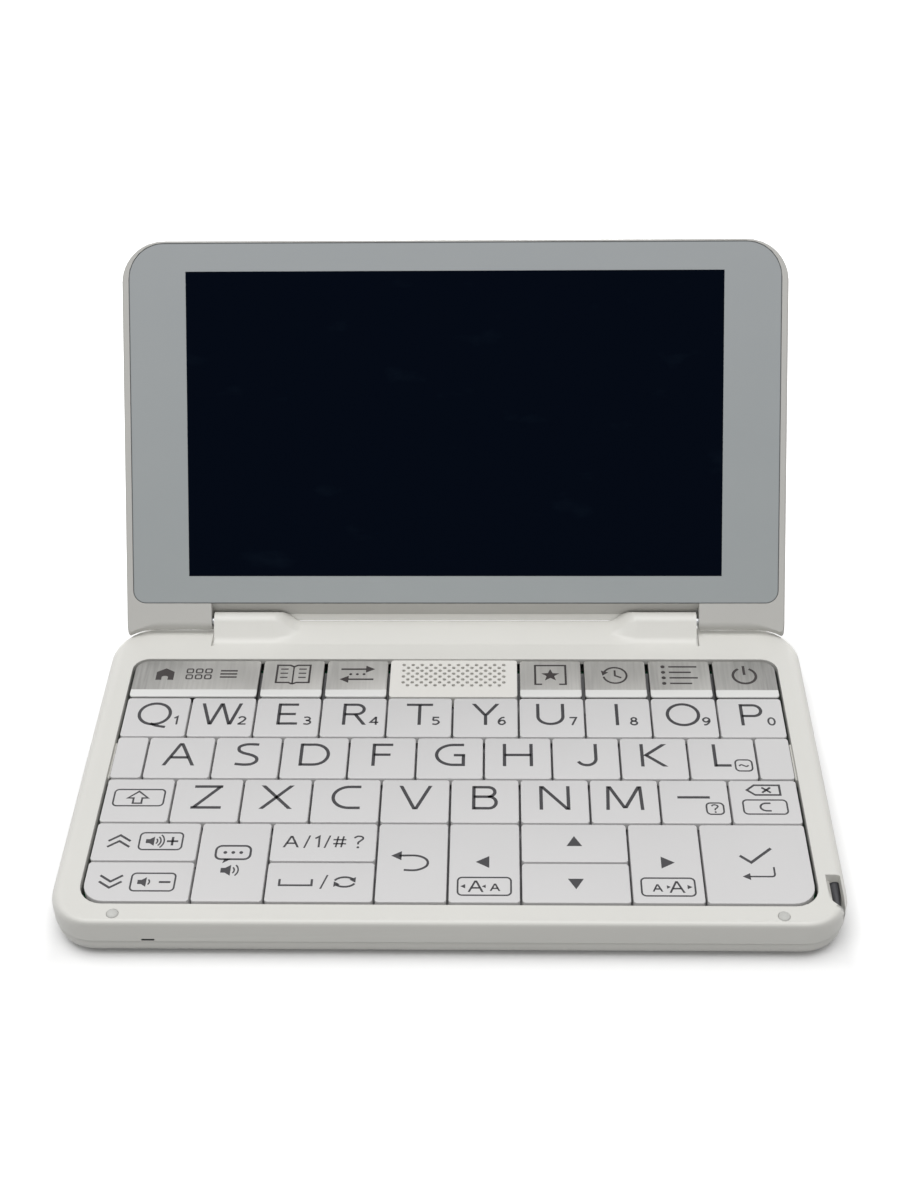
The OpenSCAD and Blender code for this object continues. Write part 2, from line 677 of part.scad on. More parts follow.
module lid_bezel() color("#D9D8D4") lid_frame() {
    difference() {
        intersection() {
            lid_body();
            translate([-lid_w, -20, lid_split_z]) cube([2 * lid_w, 2 * lid_len, 20]);
        }
        knuckle_space();
        glass_plate(clear, glass_z, hinge_drop + 1);
        lid_cavity(lid_split_z - 1, glass_z - bezel_floor_t);
        plate(-module_w / 2 - 0.3, module_w / 2 + 0.3, screen_y - module_l / 2 - 0.3,
            screen_y + module_l / 2 + 0.3, 0.5, 0.5, -1, glass_z + 1);
        for (s = [-1, 1]) {
            translate([s * (arm_in - 1), 0, 0]) rotate([0, s * 90, 0])
                cylinder(r = shaft_r + shaft_gap / 2, h = shaft_out - arm_in + 1.2);
            translate([s > 0 ? leaf_in - 0.2 : -leaf_out - 0.2, 0, -leaf_t / 2 - 0.15])
                cube([leaf_out - leaf_in + 0.4, cavity_y0 + 1, leaf_t + 0.3]);
        }
    }
}

module lid_back() color("#DCDBD7") lid_frame() difference() {
    intersection() {
        lid_body();
        translate([-lid_w, -20, lid_split_z - 20]) cube([2 * lid_w, 2 * lid_len, 20]);
    }
    knuckle_space();
    lid_cavity(lid_back_z + back_t, lid_split_z + 1);
}

module cover_glass() color("#20262E") lid_frame() glass_plate(0, glass_z, hinge_drop);

tail_w = 18;
module lcd_module() color("#12161C") lid_frame() {
    plate(-module_w / 2, module_w / 2, screen_y - module_l / 2, screen_y + module_l / 2,
        0.4, 0.4, glass_z - module_t, glass_z);
    translate([-tail_w / 2, cavity_y0 + 0.4, glass_z - module_t + 0.1])
        cube([tail_w, screen_y - module_l / 2 - cavity_y0, 0.3]);
}

module hinge_shafts() color("#A7A9AC") lid_frame() for (s = [-1, 1]) {
    translate([s * shaft_in, 0, 0]) rotate([0, s * 90, 0]) cylinder(r = shaft_r, h = shaft_out - shaft_in);
    translate([s > 0 ? leaf_in : -leaf_out, 0, -leaf_t / 2]) cube([leaf_out - leaf_in, leaf_l, leaf_t]);
}

lower_case();
upper_case();
key_sheet();
main_board();
battery();
rubber_pads();
case_screws();
stylus();
lid_bezel();
lid_back();
cover_glass();
lcd_module();
hinge_shafts();
for (k = KEYS) keycap(k);
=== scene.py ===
import json
import math

import bmesh
import bpy
from mathutils import Matrix, Vector


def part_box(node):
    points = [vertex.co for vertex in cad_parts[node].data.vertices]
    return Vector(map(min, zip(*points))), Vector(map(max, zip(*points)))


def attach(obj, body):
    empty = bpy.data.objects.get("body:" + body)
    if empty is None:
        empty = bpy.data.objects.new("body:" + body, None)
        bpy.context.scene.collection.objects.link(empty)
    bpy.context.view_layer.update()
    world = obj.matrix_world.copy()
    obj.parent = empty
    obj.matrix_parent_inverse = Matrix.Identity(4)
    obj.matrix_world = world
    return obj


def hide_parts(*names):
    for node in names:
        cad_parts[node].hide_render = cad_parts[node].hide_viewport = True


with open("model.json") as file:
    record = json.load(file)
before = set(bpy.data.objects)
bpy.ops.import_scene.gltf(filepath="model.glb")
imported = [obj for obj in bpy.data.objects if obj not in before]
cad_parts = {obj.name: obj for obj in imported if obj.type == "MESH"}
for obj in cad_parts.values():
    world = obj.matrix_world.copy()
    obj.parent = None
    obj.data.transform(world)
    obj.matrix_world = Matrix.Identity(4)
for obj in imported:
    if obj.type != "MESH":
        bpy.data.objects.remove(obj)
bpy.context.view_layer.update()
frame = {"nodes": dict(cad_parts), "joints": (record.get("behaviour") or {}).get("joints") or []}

# Sizes are written in millimetres and turned into metres where a mesh or a shader takes them.
# Deck frame: x = 0 in the middle of the keyboard, y = 0 at its rear edge, z = 0 on the deck.
# Lid frame: origin on the hinge axis, x along the axis, y along the lid, z out of the screen.
KEY_GAP = 0.46
LID_TURN = math.radians(55)
GLASS_START = 4.338
GLASS_W, GLASS_L = 147.5, 81.6
SCREEN_W = 121.8
SCREEN_Y0, SCREEN_Y1 = 10.5, 79.6
BOARD_MIDDLE, BOARD_HALF = 0.0055, 0.00053

key_low, key_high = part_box("key_home")
DECK = Vector((0, key_high.y + KEY_GAP / 2000, key_high.z))
HINGE = Vector(next(j for j in frame["joints"] if j["name"] == "lid_hinge")["pos_m"])


def deck_point(x, y, z=0.0):
    return DECK + Vector((x, y, z)) / 1000


# ---------- camera ----------

def add_camera():
    """The photograph's camera: the angles, lens and place that fit the edges seen in it."""
    tilt, turn, roll = math.radians(39.195), math.radians(-1.677), math.radians(-1.052)
    forward = Vector((
        math.sin(turn) * math.cos(tilt),
        math.cos(turn) * math.cos(tilt),
        -math.sin(tilt),
    ))
    level = Vector((math.cos(turn), -math.sin(turn), 0))
    upright = level.cross(forward)
    right = level * math.cos(roll) + upright * math.sin(roll)
    up = upright * math.cos(roll) - level * math.sin(roll)
    data = bpy.data.cameras.new("camera")
    data.sensor_width = 36
    data.lens = 52.5
    data.shift_x = -0.00585
    data.clip_start = 0.01
    cam = bpy.data.objects.new("camera", data)
    cam.matrix_world = Matrix((
        (right.x, up.x, -forward.x, 0),
        (right.y, up.y, -forward.y, 0),
        (right.z, up.z, -forward.z, 0),
        (0, 0, 0, 1),
    ))
    cam.location = deck_point(9.644, -298.524, 261.006)
    bpy.context.collection.objects.link(cam)
    bpy.context.scene.camera = cam


add_camera()


# ---------- materials ----------

def srgb(*c):
    """A colour measured in the photograph, 0 to 255, as the linear value a shader takes."""
    linear = [v / 12.92 / 255 if v <= 10 else ((v / 255 + 0.055) / 1.055) ** 2.4 for v in c]
    return (*linear, 1.0)


def shade(colour, factor):
    """A linear colour made lighter or darker, its alpha kept."""
    return (*(min(1, v * factor) for v in colour[:3]), 1)


def seen_directly(tree):
    """1 for rays from the camera and for what metal and glass show, 0 for rays that carry light."""
    path = tree.nodes.new("ShaderNodeLightPath").outputs
    seen = path["Is Camera Ray"]
    for other in ("Is Glossy Ray", "Is Transmission Ray"):
        either = tree.nodes.new("ShaderNodeMath")
        either.operation = "MAXIMUM"
        tree.links.new(seen, either.inputs[0])
        tree.links.new(path[other], either.inputs[1])
        seen = either.outputs[0]
    return seen


class Finish:
    """A node material: a Principled shader and short words for the nodes before it."""

    def __init__(self, name, rough, metallic=0.0, ior_level=0.5):
        self.material = bpy.data.materials.new(name)
        self.material.use_nodes = True
        self.tree = self.material.node_tree
        self.shader = self.tree.nodes["Principled BSDF"]
        self.shader.inputs["Roughness"].default_value = rough
        self.shader.inputs["Metallic"].default_value = metallic
        self.shader.inputs["Specular IOR Level"].default_value = ior_level
        self.place = self.node("ShaderNodeTexCoord").outputs["Object"]

    def node(self, kind, **values):
        made = self.tree.nodes.new(kind)
        for key, value in values.items():
            setattr(made, key, value)
        return made

    def link(self, source, socket):
        if hasattr(source, "bl_rna") and isinstance(source, bpy.types.NodeSocket):
            self.tree.links.new(source, socket)
        else:
            socket.default_value = source

    def math(self, operation, a, b=0.0, c=0.0):
        n = self.node("ShaderNodeMath", operation=operation)
        for socket, value in zip(n.inputs, (a, b, c)):
            self.link(value, socket)
        return n.outputs[0]

    def mix(self, share, a, b):
        n = self.node("ShaderNodeMix", data_type="RGBA")
        self.link(share, n.inputs["Factor"])
        self.link(a, n.inputs[6])
        self.link(b, n.inputs[7])
        return n.outputs[2]

    def noise(self, scale, detail=2.0, stretch=(1, 1, 1), rough=0.5):
        """Noise with features of about 1000/scale mm, drawn out along an axis where stretch is small."""
        turn = self.node("ShaderNodeMapping")
        self.tree.links.new(self.place, turn.inputs["Vector"])
        turn.inputs["Scale"].default_value = stretch
        n = self.node("ShaderNodeTexNoise")
        self.tree.links.new(turn.outputs[0], n.inputs["Vector"])
        n.inputs["Scale"].default_value = scale
        n.inputs["Detail"].default_value = detail
        n.inputs["Roughness"].default_value = rough
        return n.outputs["Fac"]

    def spread(self, value, low, high, to_low=0.0, to_high=1.0):
        n = self.node("ShaderNodeMapRange", clamp=True)
        self.link(value, n.inputs["Value"])
        for i, v in enumerate((low, high, to_low, to_high)):
            self.link(v, n.inputs[i + 1])
        return n.outputs[0]

    def step(self, value, at, blur=0.00002, rising=True):
        """0 below a place and 1 above it, or the other way round, over a very short ramp."""
        ends = (0, 1) if rising else (1, 0)
        return self.spread(value, at - blur, at + blur, *ends)

    def off_middle(self, value, middle):
        return self.math("ABSOLUTE", self.math("SUBTRACT", value, middle))

    def past_rectangle(self, spans):
        """Distance outside a rectangle. Each span is a distance off its middle and its half size."""
        squares = []
        for off_middle, half in spans:
            beyond = self.math("MAXIMUM", self.math("SUBTRACT", off_middle, half), 0)
            squares.append(self.math("POWER", beyond, 2))
        return self.math("SQRT", self.math("ADD", *squares))

    def axes(self):
        n = self.node("ShaderNodeSeparateXYZ")
        self.tree.links.new(self.place, n.inputs[0])
        return n.outputs

    def seen(self):
        return seen_directly(self.tree)

    def colour(self, source):
        self.link(source, self.shader.inputs["Base Color"])

    def roughness(self, source):
        self.link(source, self.shader.inputs["Roughness"])

    def relief(self, height, depth_mm, strength=1.0, soft_edge_mm=0.0):
        bump = self.node("ShaderNodeBump")
        bump.inputs["Distance"].default_value = depth_mm / 1000
        bump.inputs["Strength"].default_value = strength
        self.link(height, bump.inputs["Height"])
        if soft_edge_mm:
            edge = self.node("ShaderNodeBevel", samples=4)
            edge.inputs["Radius"].default_value = soft_edge_mm / 1000
            self.tree.links.new(edge.outputs[0], bump.inputs["Normal"])
        self.tree.links.new(bump.outputs[0], self.shader.inputs["Normal"])

    def in_lid_frame(self):
        """Object coordinates become lid frame coordinates, in metres."""
        turn = self.node("ShaderNodeMapping")
        self.tree.links.new(self.place, turn.inputs["Vector"])
        back = Matrix.Rotation(-LID_TURN, 3, "X")
        turn.inputs["Rotation"].default_value = (-LID_TURN, 0, 0)
        turn.inputs["Location"].default_value = -(back @ HINGE)
        self.place = turn.outputs[0]


def moulded(name, colour, rough, soft_edge=0.2, spread=0.012, grain=0.012, patches=()):
    """Injection-moulded plastic: a fine spark-eroded grain, faint clouding, soft edges.

    A patch is a rectangle of the part, (x0, x1, y0, y1) in metres, with a colour of its own.
    """
    f = Finish(name, rough)
    cloud = f.spread(f.noise(45, 3), 0.3, 0.7)
    face = f.mix(cloud, shade(colour, 1 - spread), shade(colour, 1 + spread))
    for bounds, tone in patches:
        face = f.mix(on_patch(f, *bounds), face, tone)
    f.colour(face)
    f.roughness(f.spread(f.noise(900, 2), 0.3, 0.7, rough - 0.04, rough + 0.05))
    f.relief(f.noise(5200, 2), grain, 0.35, soft_edge)
    return f.material


def on_patch(f, x0, x1, y0, y1):
    """1 inside a rectangle seen from above, 0 outside it."""
    x, y = f.axes()[:2]
    inside = []
    for along, start, end in ((x, x0, x1), (y, y0, y1)):
        inside.append(f.math("LESS_THAN", f.off_middle(along, (start + end) / 2), (end - start) / 2))
    return f.math("MULTIPLY", *inside)


def deck_patches(pad_tone):
    """The blank pads at the ends of the middle letter row, a painted shade line at the outer seam of each,
    and the speaker panel, painted lighter than the deck.
    """
    gap = KEY_GAP / 1000
    row_low, row_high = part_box("key_a")
    row = (row_low.y - gap / 2, row_high.y + gap / 2)
    well_half = -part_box("key_shift")[0].x
    # Painted shade: a thin dark line at the outer end of each pad stands in for the shadow in the seam
    # between pad and deck
    seam = (well_half + 0.1 * gap, well_half + 0.8 * gap)
    painted_seam_shade = srgb(112, 110, 108)
    panel = (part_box("key_dict_b")[1].x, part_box("key_my")[0].x, key_low.y, key_high.y)
    return [
        ((-well_half, row_low.x, *row), pad_tone),
        ((-seam[1], -seam[0], *row), painted_seam_shade),
        ((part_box("key_l")[1].x, well_half, *row), pad_tone),
        ((*seam, *row), painted_seam_shade),
        # Painted light: the speaker panel is lighter than the deck to make up for the shade it gets near
        # the lid
        (panel, srgb(231, 229, 224)),
    ]


def silver_face():
    """Silver paint with fine brush lines, the white front edge of each function key, dark sides, and
    painted shade that darkens the keys towards the ends of the row where the sheen falls off.
    """
    metal = 0.55
    f = Finish("silver_key", 0.36, metallic=metal)
    x, y, z = f.axes()
    lines = f.noise(1400, 3, (1, 0.05, 1), 0.6)
    cloud = f.spread(f.noise(34, 1, (1, 0.3, 1)), 0.35, 0.65, 0, 0.45)
    # Painted shade: the silver darkens towards the outer ends of the row, standing in for the sheen falling
    # off away from the lamp
    painted_sheen_falloff = f.spread(f.math("ABSOLUTE", x), 0.056, 0.073)
    tone = f.mix(painted_sheen_falloff, srgb(206, 204, 200), srgb(100, 100, 100))
    tone = f.mix(cloud, tone, srgb(160, 159, 155))
    silver = f.mix(f.spread(lines, 0.25, 0.75, 0, 0.22), tone, srgb(250, 248, 244))
    front_edge, side_top = DECK.y - 0.01009, DECK.z - 0.00045
    front = f.step(y, front_edge, 0.00003, rising=False)
    sides = f.step(z, side_top, 0.00005, rising=False)
    top = f.mix(front, silver, srgb(228, 228, 226))
    f.colour(f.mix(sides, top, srgb(58, 57, 57)))
    paint = f.math("SUBTRACT", 1, f.math("MAXIMUM", front, sides))
    f.link(f.math("MULTIPLY", paint, metal), f.shader.inputs["Metallic"])
    f.roughness(f.spread(lines, 0.2, 0.8, 0.28, 0.4))
    f.relief(lines, 0.004, 0.5, 0.12)
    return f.material


def printed_glass():
    """Cover glass: a satin grey border printed on its underside round the black display, with painted shade
    that leaves the border a little darker towards its foot.
    """
    f = Finish("cover_glass", 0.16, ior_level=0.02)
    f.in_lid_frame()
    x, y = f.axes()[:2]
    across = f.math("ABSOLUTE", x)
    along = f.off_middle(y, (GLASS_START + GLASS_L / 2) / 1000)
    in_height = f.math("MULTIPLY", f.step(y, SCREEN_Y0 / 1000), f.step(y, SCREEN_Y1 / 1000, rising=False))
    inside = f.math("MULTIPLY", f.step(across, SCREEN_W / 2000, rising=False), in_height)

    # Painted shade: the border is a little darker at the foot and lighter towards the top, for how the
    # light falls across the lid
    border = f.mix(f.spread(y, 0.004, 0.086), srgb(161, 166, 167), srgb(164, 168, 170))
    border = f.mix(f.spread(f.noise(60, 2), 0.3, 0.7, 0, 0.06), border, srgb(186, 186, 184))
    # A thin darker line just inside the glass's edge, whose corners are smaller at the foot
    foot_corner, top_corner = 0.0028, 0.008
    corner = f.spread(f.math("LESS_THAN", y, 0.04), 0, 1, top_corner, foot_corner)
    spans = []
    for off_middle, half in ((across, GLASS_W / 2000), (along, GLASS_L / 2000)):
        spans.append((off_middle, f.math("SUBTRACT", half, corner)))
    depth = f.math("SUBTRACT", f.past_rectangle(spans), corner)
    border = f.mix(f.spread(depth, -0.00018, -0.00010), border, srgb(118, 122, 124))

    dust = f.math("MULTIPLY", f.math("GREATER_THAN", f.noise(700, 1), 0.86), 0.05)
    smear = f.spread(f.noise(55, 4, (1, 2.2, 1)), 0.62, 0.85, 0, 0.05)
    display = (0.0002, 0.0019, 0.0066, 1)
    display = f.mix(f.math("MAXIMUM", dust, smear), display, srgb(70, 90, 110))
    f.colour(f.mix(inside, border, display))
    f.roughness(f.spread(inside, 0, 1, 0.34, 0.1))
    return f.material


def ink(name, colour, rough=0.5):
    """Printing ink, a little uneven."""
    f = Finish(name, rough)
    f.colour(f.mix(f.spread(f.noise(1600, 1), 0.3, 0.7), shade(colour, 0.92), colour))
    return f.material


def machined(name, colour, rough):
    """Bare metal with turning marks along x."""
    f = Finish(name, rough, metallic=1.0)
    f.colour(f.mix(f.spread(f.noise(2500, 2, (0.1, 1, 1)), 0.3, 0.7, 0, 0.3), colour, srgb(220, 221, 222)))
    f.relief(f.noise(3000, 2, (0.1, 1, 1)), 0.004, 0.4, 0.1)
    return f.material


def speckled(name, colour, other, scale, rough, share=0.5, grain=0.01):
    """A material of two near colours in spots of about 1000/scale mm."""
    f = Finish(name, rough)
    f.colour(f.mix(f.spread(f.noise(scale, 3), 0.35, 0.65, 0, share), colour, other))
    f.relief(f.noise(scale * 6, 2), grain, 0.4)
    return f.material


def populated_board():
    """A green board between its two faces, dark chips beyond them and a steel socket at the left end."""
    f = Finish("circuit_green", 0.35)
    x, _, z = f.axes()
    socket_end = -0.066
    green = f.mix(f.spread(f.noise(500, 3), 0.35, 0.65, 0, 0.5), srgb(24, 92, 58), srgb(18, 70, 44))
    part = f.mix(f.math("LESS_THAN", x, socket_end), srgb(30, 31, 33), srgb(150, 152, 155))
    off_board = f.math("GREATER_THAN", f.off_middle(z, BOARD_MIDDLE), BOARD_HALF)
    f.colour(f.mix(off_board, green, part))
    f.relief(f.noise(3000, 2), 0.01, 0.4)
    return f.material


white_tone, key_tone = srgb(223, 222, 217), srgb(214, 213, 213)
shell_white = moulded("shell_white", white_tone, 0.42)
deck_white = moulded("deck_white", white_tone, 0.42, patches=deck_patches(key_tone))
lid_white = moulded("lid_white", white_tone, 0.42)
key_white = moulded("key_white", key_tone, 0.4, 0.14, 0.008, 0.006)
lid_grey = moulded("lid_grey", srgb(186, 185, 181), 0.42)
silver_key = silver_face()
glass_face = printed_glass()
legend_ink = ink("legend_ink", srgb(62, 61, 64))
dark_ink = ink("dark_ink", srgb(56, 51, 51))
silicone = speckled("silicone", srgb(176, 176, 178), srgb(160, 160, 162), 900, 0.7)
felt = speckled("felt", srgb(12, 12, 13), srgb(22, 22, 23), 6000, 0.95)
pad_rubber = speckled("pad_rubber", srgb(204, 204, 200), srgb(190, 190, 186), 700, 0.6, 0.6)
stylus_grey = moulded("stylus_grey", srgb(72, 72, 76), 0.38, 0.1, 0.03)
circuit_green = populated_board()
battery_wrap = speckled("battery_wrap", srgb(52, 54, 60), srgb(44, 46, 52), 120, 0.4)
display_black = speckled("display_black", srgb(14, 16, 20), srgb(20, 22, 28), 200, 0.2, 0.5, 0.002)
steel = machined("steel", srgb(168, 170, 172), 0.3)


# ---------- mesh tools ----------

JOIN = 2e-6  # points nearer than this, in metres, are one point


def add_piece(name, mesh, material, body, slot, *stands_for):
    """A visible piece that rides on a body and may stand for CAD nodes."""
    piece = bpy.data.objects.new(name, mesh)
    bpy.context.collection.objects.link(piece)
    if material:
        mesh.materials.clear()
        mesh.materials.append(material)
    if stands_for:
        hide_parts(*stands_for)
    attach(piece, body)
    return piece


def evaluated_mesh(piece):
    """What a piece with modifiers comes to, as a plain mesh. The piece itself is removed."""
    bpy.context.view_layer.update()
    graph = bpy.context.evaluated_depsgraph_get()
    mesh = bpy.data.meshes.new_from_object(piece.evaluated_get(graph), depsgraph=graph)
    old = piece.data
    bpy.data.objects.remove(piece)
    if old.users == 0:
        bpy.data.meshes.remove(old)
    return mesh


def smooth_shell(name, node, material, body, slot, angle=34):
    """A moulded part over its CAD solid: the same surface, joined and smoothly shaded up to its edges."""
    mesh = frame["nodes"][node].data.copy()
    work = bmesh.new()
    work.from_mesh(mesh)
    bmesh.ops.remove_doubles(work, verts=work.verts, dist=JOIN)
    bmesh.ops.dissolve_limit(work, angle_limit=math.radians(0.6), verts=work.verts, edges=work.edges)
    for face in work.faces:
        face.smooth = True
    work.to_mesh(mesh)
    work.free()
    mesh.set_sharp_from_angle(angle=math.radians(angle))
    draft = bpy.data.objects.new(name, mesh)
    bpy.context.collection.objects.link(draft)
    weighted = draft.modifiers.new("weighted", "WEIGHTED_NORMAL")
    weighted.keep_sharp = True
    weighted.weight = 100
    return add_piece(name, evaluated_mesh(draft), material, body, slot, node)


# ---------- key caps, one tree for all ----------

def keycap_tree():
    """A cap as a rounded outline swept by an edge profile, with its top and underside filled."""
    tree = bpy.data.node_groups.new("keycap", "GeometryNodeTree")
    face = tree.interface
    for label, kind, value in (
        ("Width", "NodeSocketFloat", 0.014), ("Depth", "NodeSocketFloat", 0.012),
        ("Height", "NodeSocketFloat", 0.002), ("Edge radius", "NodeSocketFloat", 0.00015),
        ("Corner rear right", "NodeSocketFloat", 0.0007), ("Corner rear left", "NodeSocketFloat", 0.0007),
        ("Corner front left", "NodeSocketFloat", 0.0007), ("Corner front right", "NodeSocketFloat", 0.0007),
        ("Centre", "NodeSocketVector", None), ("Material", "NodeSocketMaterial", None),
    ):
        socket = face.new_socket(name=label, in_out="INPUT", socket_type=kind)
        if value is not None:
            socket.default_value = value
    face.new_socket(name="Cap", in_out="OUTPUT", socket_type="NodeSocketGeometry")
    node = tree.nodes.new
    wire = tree.links.new
    given = node("NodeGroupInput").outputs

    def calc(operation, a, b):
        n = node("ShaderNodeMath")
        n.operation = operation
        for socket, value in zip(n.inputs, (a, b)):
            if isinstance(value, bpy.types.NodeSocket):
                wire(value, socket)
            else:
                socket.default_value = value
        return n.outputs[0]

    edge = given["Edge radius"]
    inner_width = calc("SUBTRACT", given["Width"], calc("MULTIPLY", edge, 2))
    inner_depth = calc("SUBTRACT", given["Depth"], calc("MULTIPLY", edge, 2))
    outline = node("GeometryNodeCurvePrimitiveQuadrilateral")
    wire(inner_width, outline.inputs["Width"])
    wire(inner_depth, outline.inputs["Height"])
    pick = node("GeometryNodeIndexSwitch")
    pick.data_type = "FLOAT"
    while len(pick.index_switch_items) < 4:
        pick.index_switch_items.new()
    wire(node("GeometryNodeInputIndex").outputs[0], pick.inputs["Index"])
    for i, corner in enumerate(("rear right", "rear left", "front left", "front right")):
        wire(calc("SUBTRACT", given["Corner " + corner], edge), pick.inputs[i + 1])
    fillet = node("GeometryNodeFilletCurve")
    fillet.mode = "POLY"
    fillet.inputs["Count"].default_value = 7
    fillet.inputs["Limit Radius"].default_value = True
    wire(outline.outputs[0], fillet.inputs["Curve"])
    wire(pick.outputs[0], fillet.inputs["Radius"])
    upward = node("GeometryNodeSetCurveNormal")
    upward.mode = "Z_UP"
    wire(fillet.outputs[0], upward.inputs["Curve"])

    # Edge profile: a quarter round from the top face out to the side, then down the side
    quarter = node("GeometryNodeCurveArc")
    quarter.inputs["Resolution"].default_value = 5
    wire(edge, quarter.inputs["Radius"])
    quarter.inputs["Start Angle"].default_value = 0
    quarter.inputs["Sweep Angle"].default_value = -math.pi / 2
    side = node("GeometryNodeCurvePrimitiveLine")
    start = node("ShaderNodeCombineXYZ")
    wire(edge, start.inputs["X"])
    wire(calc("SUBTRACT", given["Height"], edge), start.inputs["Y"])
    finish = node("ShaderNodeCombineXYZ")
    wire(edge, finish.inputs["X"])
    wire(start.outputs[0], side.inputs["Start"])
    wire(finish.outputs[0], side.inputs["End"])
    profile = node("GeometryNodeJoinGeometry")
    wire(side.outputs[0], profile.inputs[0])
    wire(quarter.outputs[0], profile.inputs[0])
    sweep = node("GeometryNodeCurveToMesh")
    wire(upward.outputs[0], sweep.inputs["Curve"])
    wire(profile.outputs[0], sweep.inputs["Profile Curve"])

    top = node("GeometryNodeFillCurve")
    top.mode = "NGONS"
    wire(fillet.outputs[0], top.inputs["Curve"])
    raised = node("GeometryNodeTransform")
    lift = node("ShaderNodeCombineXYZ")
    wire(edge, lift.inputs["Z"])
    wire(top.outputs[0], raised.inputs["Geometry"])
    wire(lift.outputs[0], raised.inputs["Translation"])

    # The underside repeats the outline at the outer size
    under = node("GeometryNodeTransform")
    drop = node("ShaderNodeCombineXYZ")
    wire(calc("SUBTRACT", edge, given["Height"]), drop.inputs["Z"])
    grow = node("ShaderNodeCombineXYZ")
    wire(calc("DIVIDE", given["Width"], inner_width), grow.inputs["X"])
    wire(calc("DIVIDE", given["Depth"], inner_depth), grow.inputs["Y"])
    grow.inputs["Z"].default_value = 1
    wire(top.outputs[0], under.inputs["Geometry"])
    wire(drop.outputs[0], under.inputs["Translation"])
    wire(grow.outputs[0], under.inputs["Scale"])
    flip = node("GeometryNodeFlipFaces")
    wire(under.outputs[0], flip.inputs["Mesh"])

    whole = node("GeometryNodeJoinGeometry")
    for part in (sweep.outputs[0], raised.outputs[0], flip.outputs[0]):
        wire(part, whole.inputs[0])
    merged = node("GeometryNodeMergeByDistance")
    merged.inputs["Distance"].default_value = 2e-5
    wire(whole.outputs[0], merged.inputs["Geometry"])
    placed = node("GeometryNodeTransform")
    shift = node("ShaderNodeVectorMath")
    back = node("ShaderNodeCombineXYZ")
    wire(calc("MULTIPLY", edge, -1), back.inputs["Z"])
    wire(given["Centre"], shift.inputs[0])
    wire(back.outputs[0], shift.inputs[1])
    wire(merged.outputs[0], placed.inputs["Geometry"])
    wire(shift.outputs[0], placed.inputs["Translation"])
    real = node("GeometryNodeRealizeInstances")
    wire(placed.outputs[0], real.inputs[0])
    coat = node("GeometryNodeSetMaterial")
    wire(real.outputs[0], coat.inputs["Geometry"])
    wire(given["Material"], coat.inputs["Material"])
    wire(coat.outputs[0], node("NodeGroupOutput").inputs[0])
    return tree


def from_tree(tree, **inputs):
    """One evaluated mesh of a tree. An underscore in an input's name stands for a space."""
    draft = bpy.data.objects.new("draft", bpy.data.meshes.new("draft"))
    bpy.context.collection.objects.link(draft)
    modifier = draft.modifiers.new("shape", "NODES")
    modifier.node_group = tree
    wanted = {label.replace("_", " "): value for label, value in inputs.items()}
    for item in tree.interface.items_tree:
        if item.in_out == "INPUT" and item.name in wanted:
            modifier[item.identifier] = wanted.pop(item.name)
    assert not wanted, wanted
    return evaluated_mesh(draft)


# Millimetres: corner radii of the outermost and the other caps, their height and top edge
OUTER_REAR_R, OUTER_FRONT_R, CAP_R, CAP_H, CAP_EDGE_R = 3.04, 4.54, 0.7, 2.0, 0.16
# Metres: where the key field ends, and the wider gap between the function keys
FIELD_X, FIELD_REAR, FIELD_FRONT = 0.0718, DECK.y - 0.001, DECK.y - 0.0715
SILVER_GAP = 0.00018
caps = keycap_tree()
silver_names = ("home", "dict_a", "dict_b", "my", "history", "list", "power")
key_names = [n for n in frame["nodes"] if n.startswith("key_") and n != "key_sheet"]


def cap_corners(low, high):
    """Radius of each corner of a cap. Those in a corner of the key field are larger."""
    radii = {}
    for row, y, outer_r in (("rear", high.y, OUTER_REAR_R), ("front", low.y, OUTER_FRONT_R)):
        for side, x in (("left", low.x), ("right", high.x)):
            outer = abs(x) > FIELD_X and (y > FIELD_REAR or y < FIELD_FRONT)
            radii[f"Corner_{row}_{side}"] = (outer_r if outer else CAP_R) / 1000
    return radii


def add_posts(work, node, floor):
    """The CAD solid's posts, everything of it below the cap, joined to the cap's mesh."""
    near, overlap = 0.00001, 0.00005
    solid = bmesh.new()
    solid.from_mesh(frame["nodes"][node].data)
    bmesh.ops.remove_doubles(solid, verts=solid.verts, dist=JOIN)
    copies = {}
    for face in solid.faces:
        if face.calc_center_median().z >= floor - near:
            continue
        ring = []
        for corner in face.verts:
            if corner.index not in copies:
                lift = overlap if corner.co.z > floor - near else 0
                copies[corner.index] = work.verts.new(corner.co + Vector((0, 0, lift)))
            ring.append(copies[corner.index])
        work.faces.new(ring)
    solid.free()


def add_keycap(node):
    """A rounded cap over the CAD key, which keeps its posts."""
    low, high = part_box(node)
    silver = node[4:] in silver_names
    start, end = low.copy(), high.copy()
    if silver:
        start.y += SILVER_GAP
        end.y -= SILVER_GAP
        start.x += SILVER_GAP if start.x > -FIELD_X else 0
        end.x -= SILVER_GAP if end.x < FIELD_X else 0
    cap = from_tree(
        caps,
        Width=end.x - start.x,
        Depth=end.y - start.y,
        Height=CAP_H / 1000,
        Edge_radius=CAP_EDGE_R / 1000,
        Centre=((start.x + end.x) / 2, (start.y + end.y) / 2, high.z),
        Material=silver_key if silver else key_white,
        **cap_corners(low, high),
    )
    work = bmesh.new()
    work.from_mesh(cap)
    bmesh.ops.recalc_face_normals(work, faces=work.faces)
    add_posts(work, node, high.z - CAP_H / 1000)
    for face in work.faces:
        face.smooth = True
    work.to_mesh(cap)
    work.free()
    cap.set_sharp_from_angle(angle=math.radians(40))
    add_piece(node + "_cap", cap, None, node, "silver_key" if silver else "key_plastic", node)


for node in key_names:
    add_keycap(node)


# ---------- printed legends ----------

INK_LOW, INK_HIGH = -0.01, 0.015


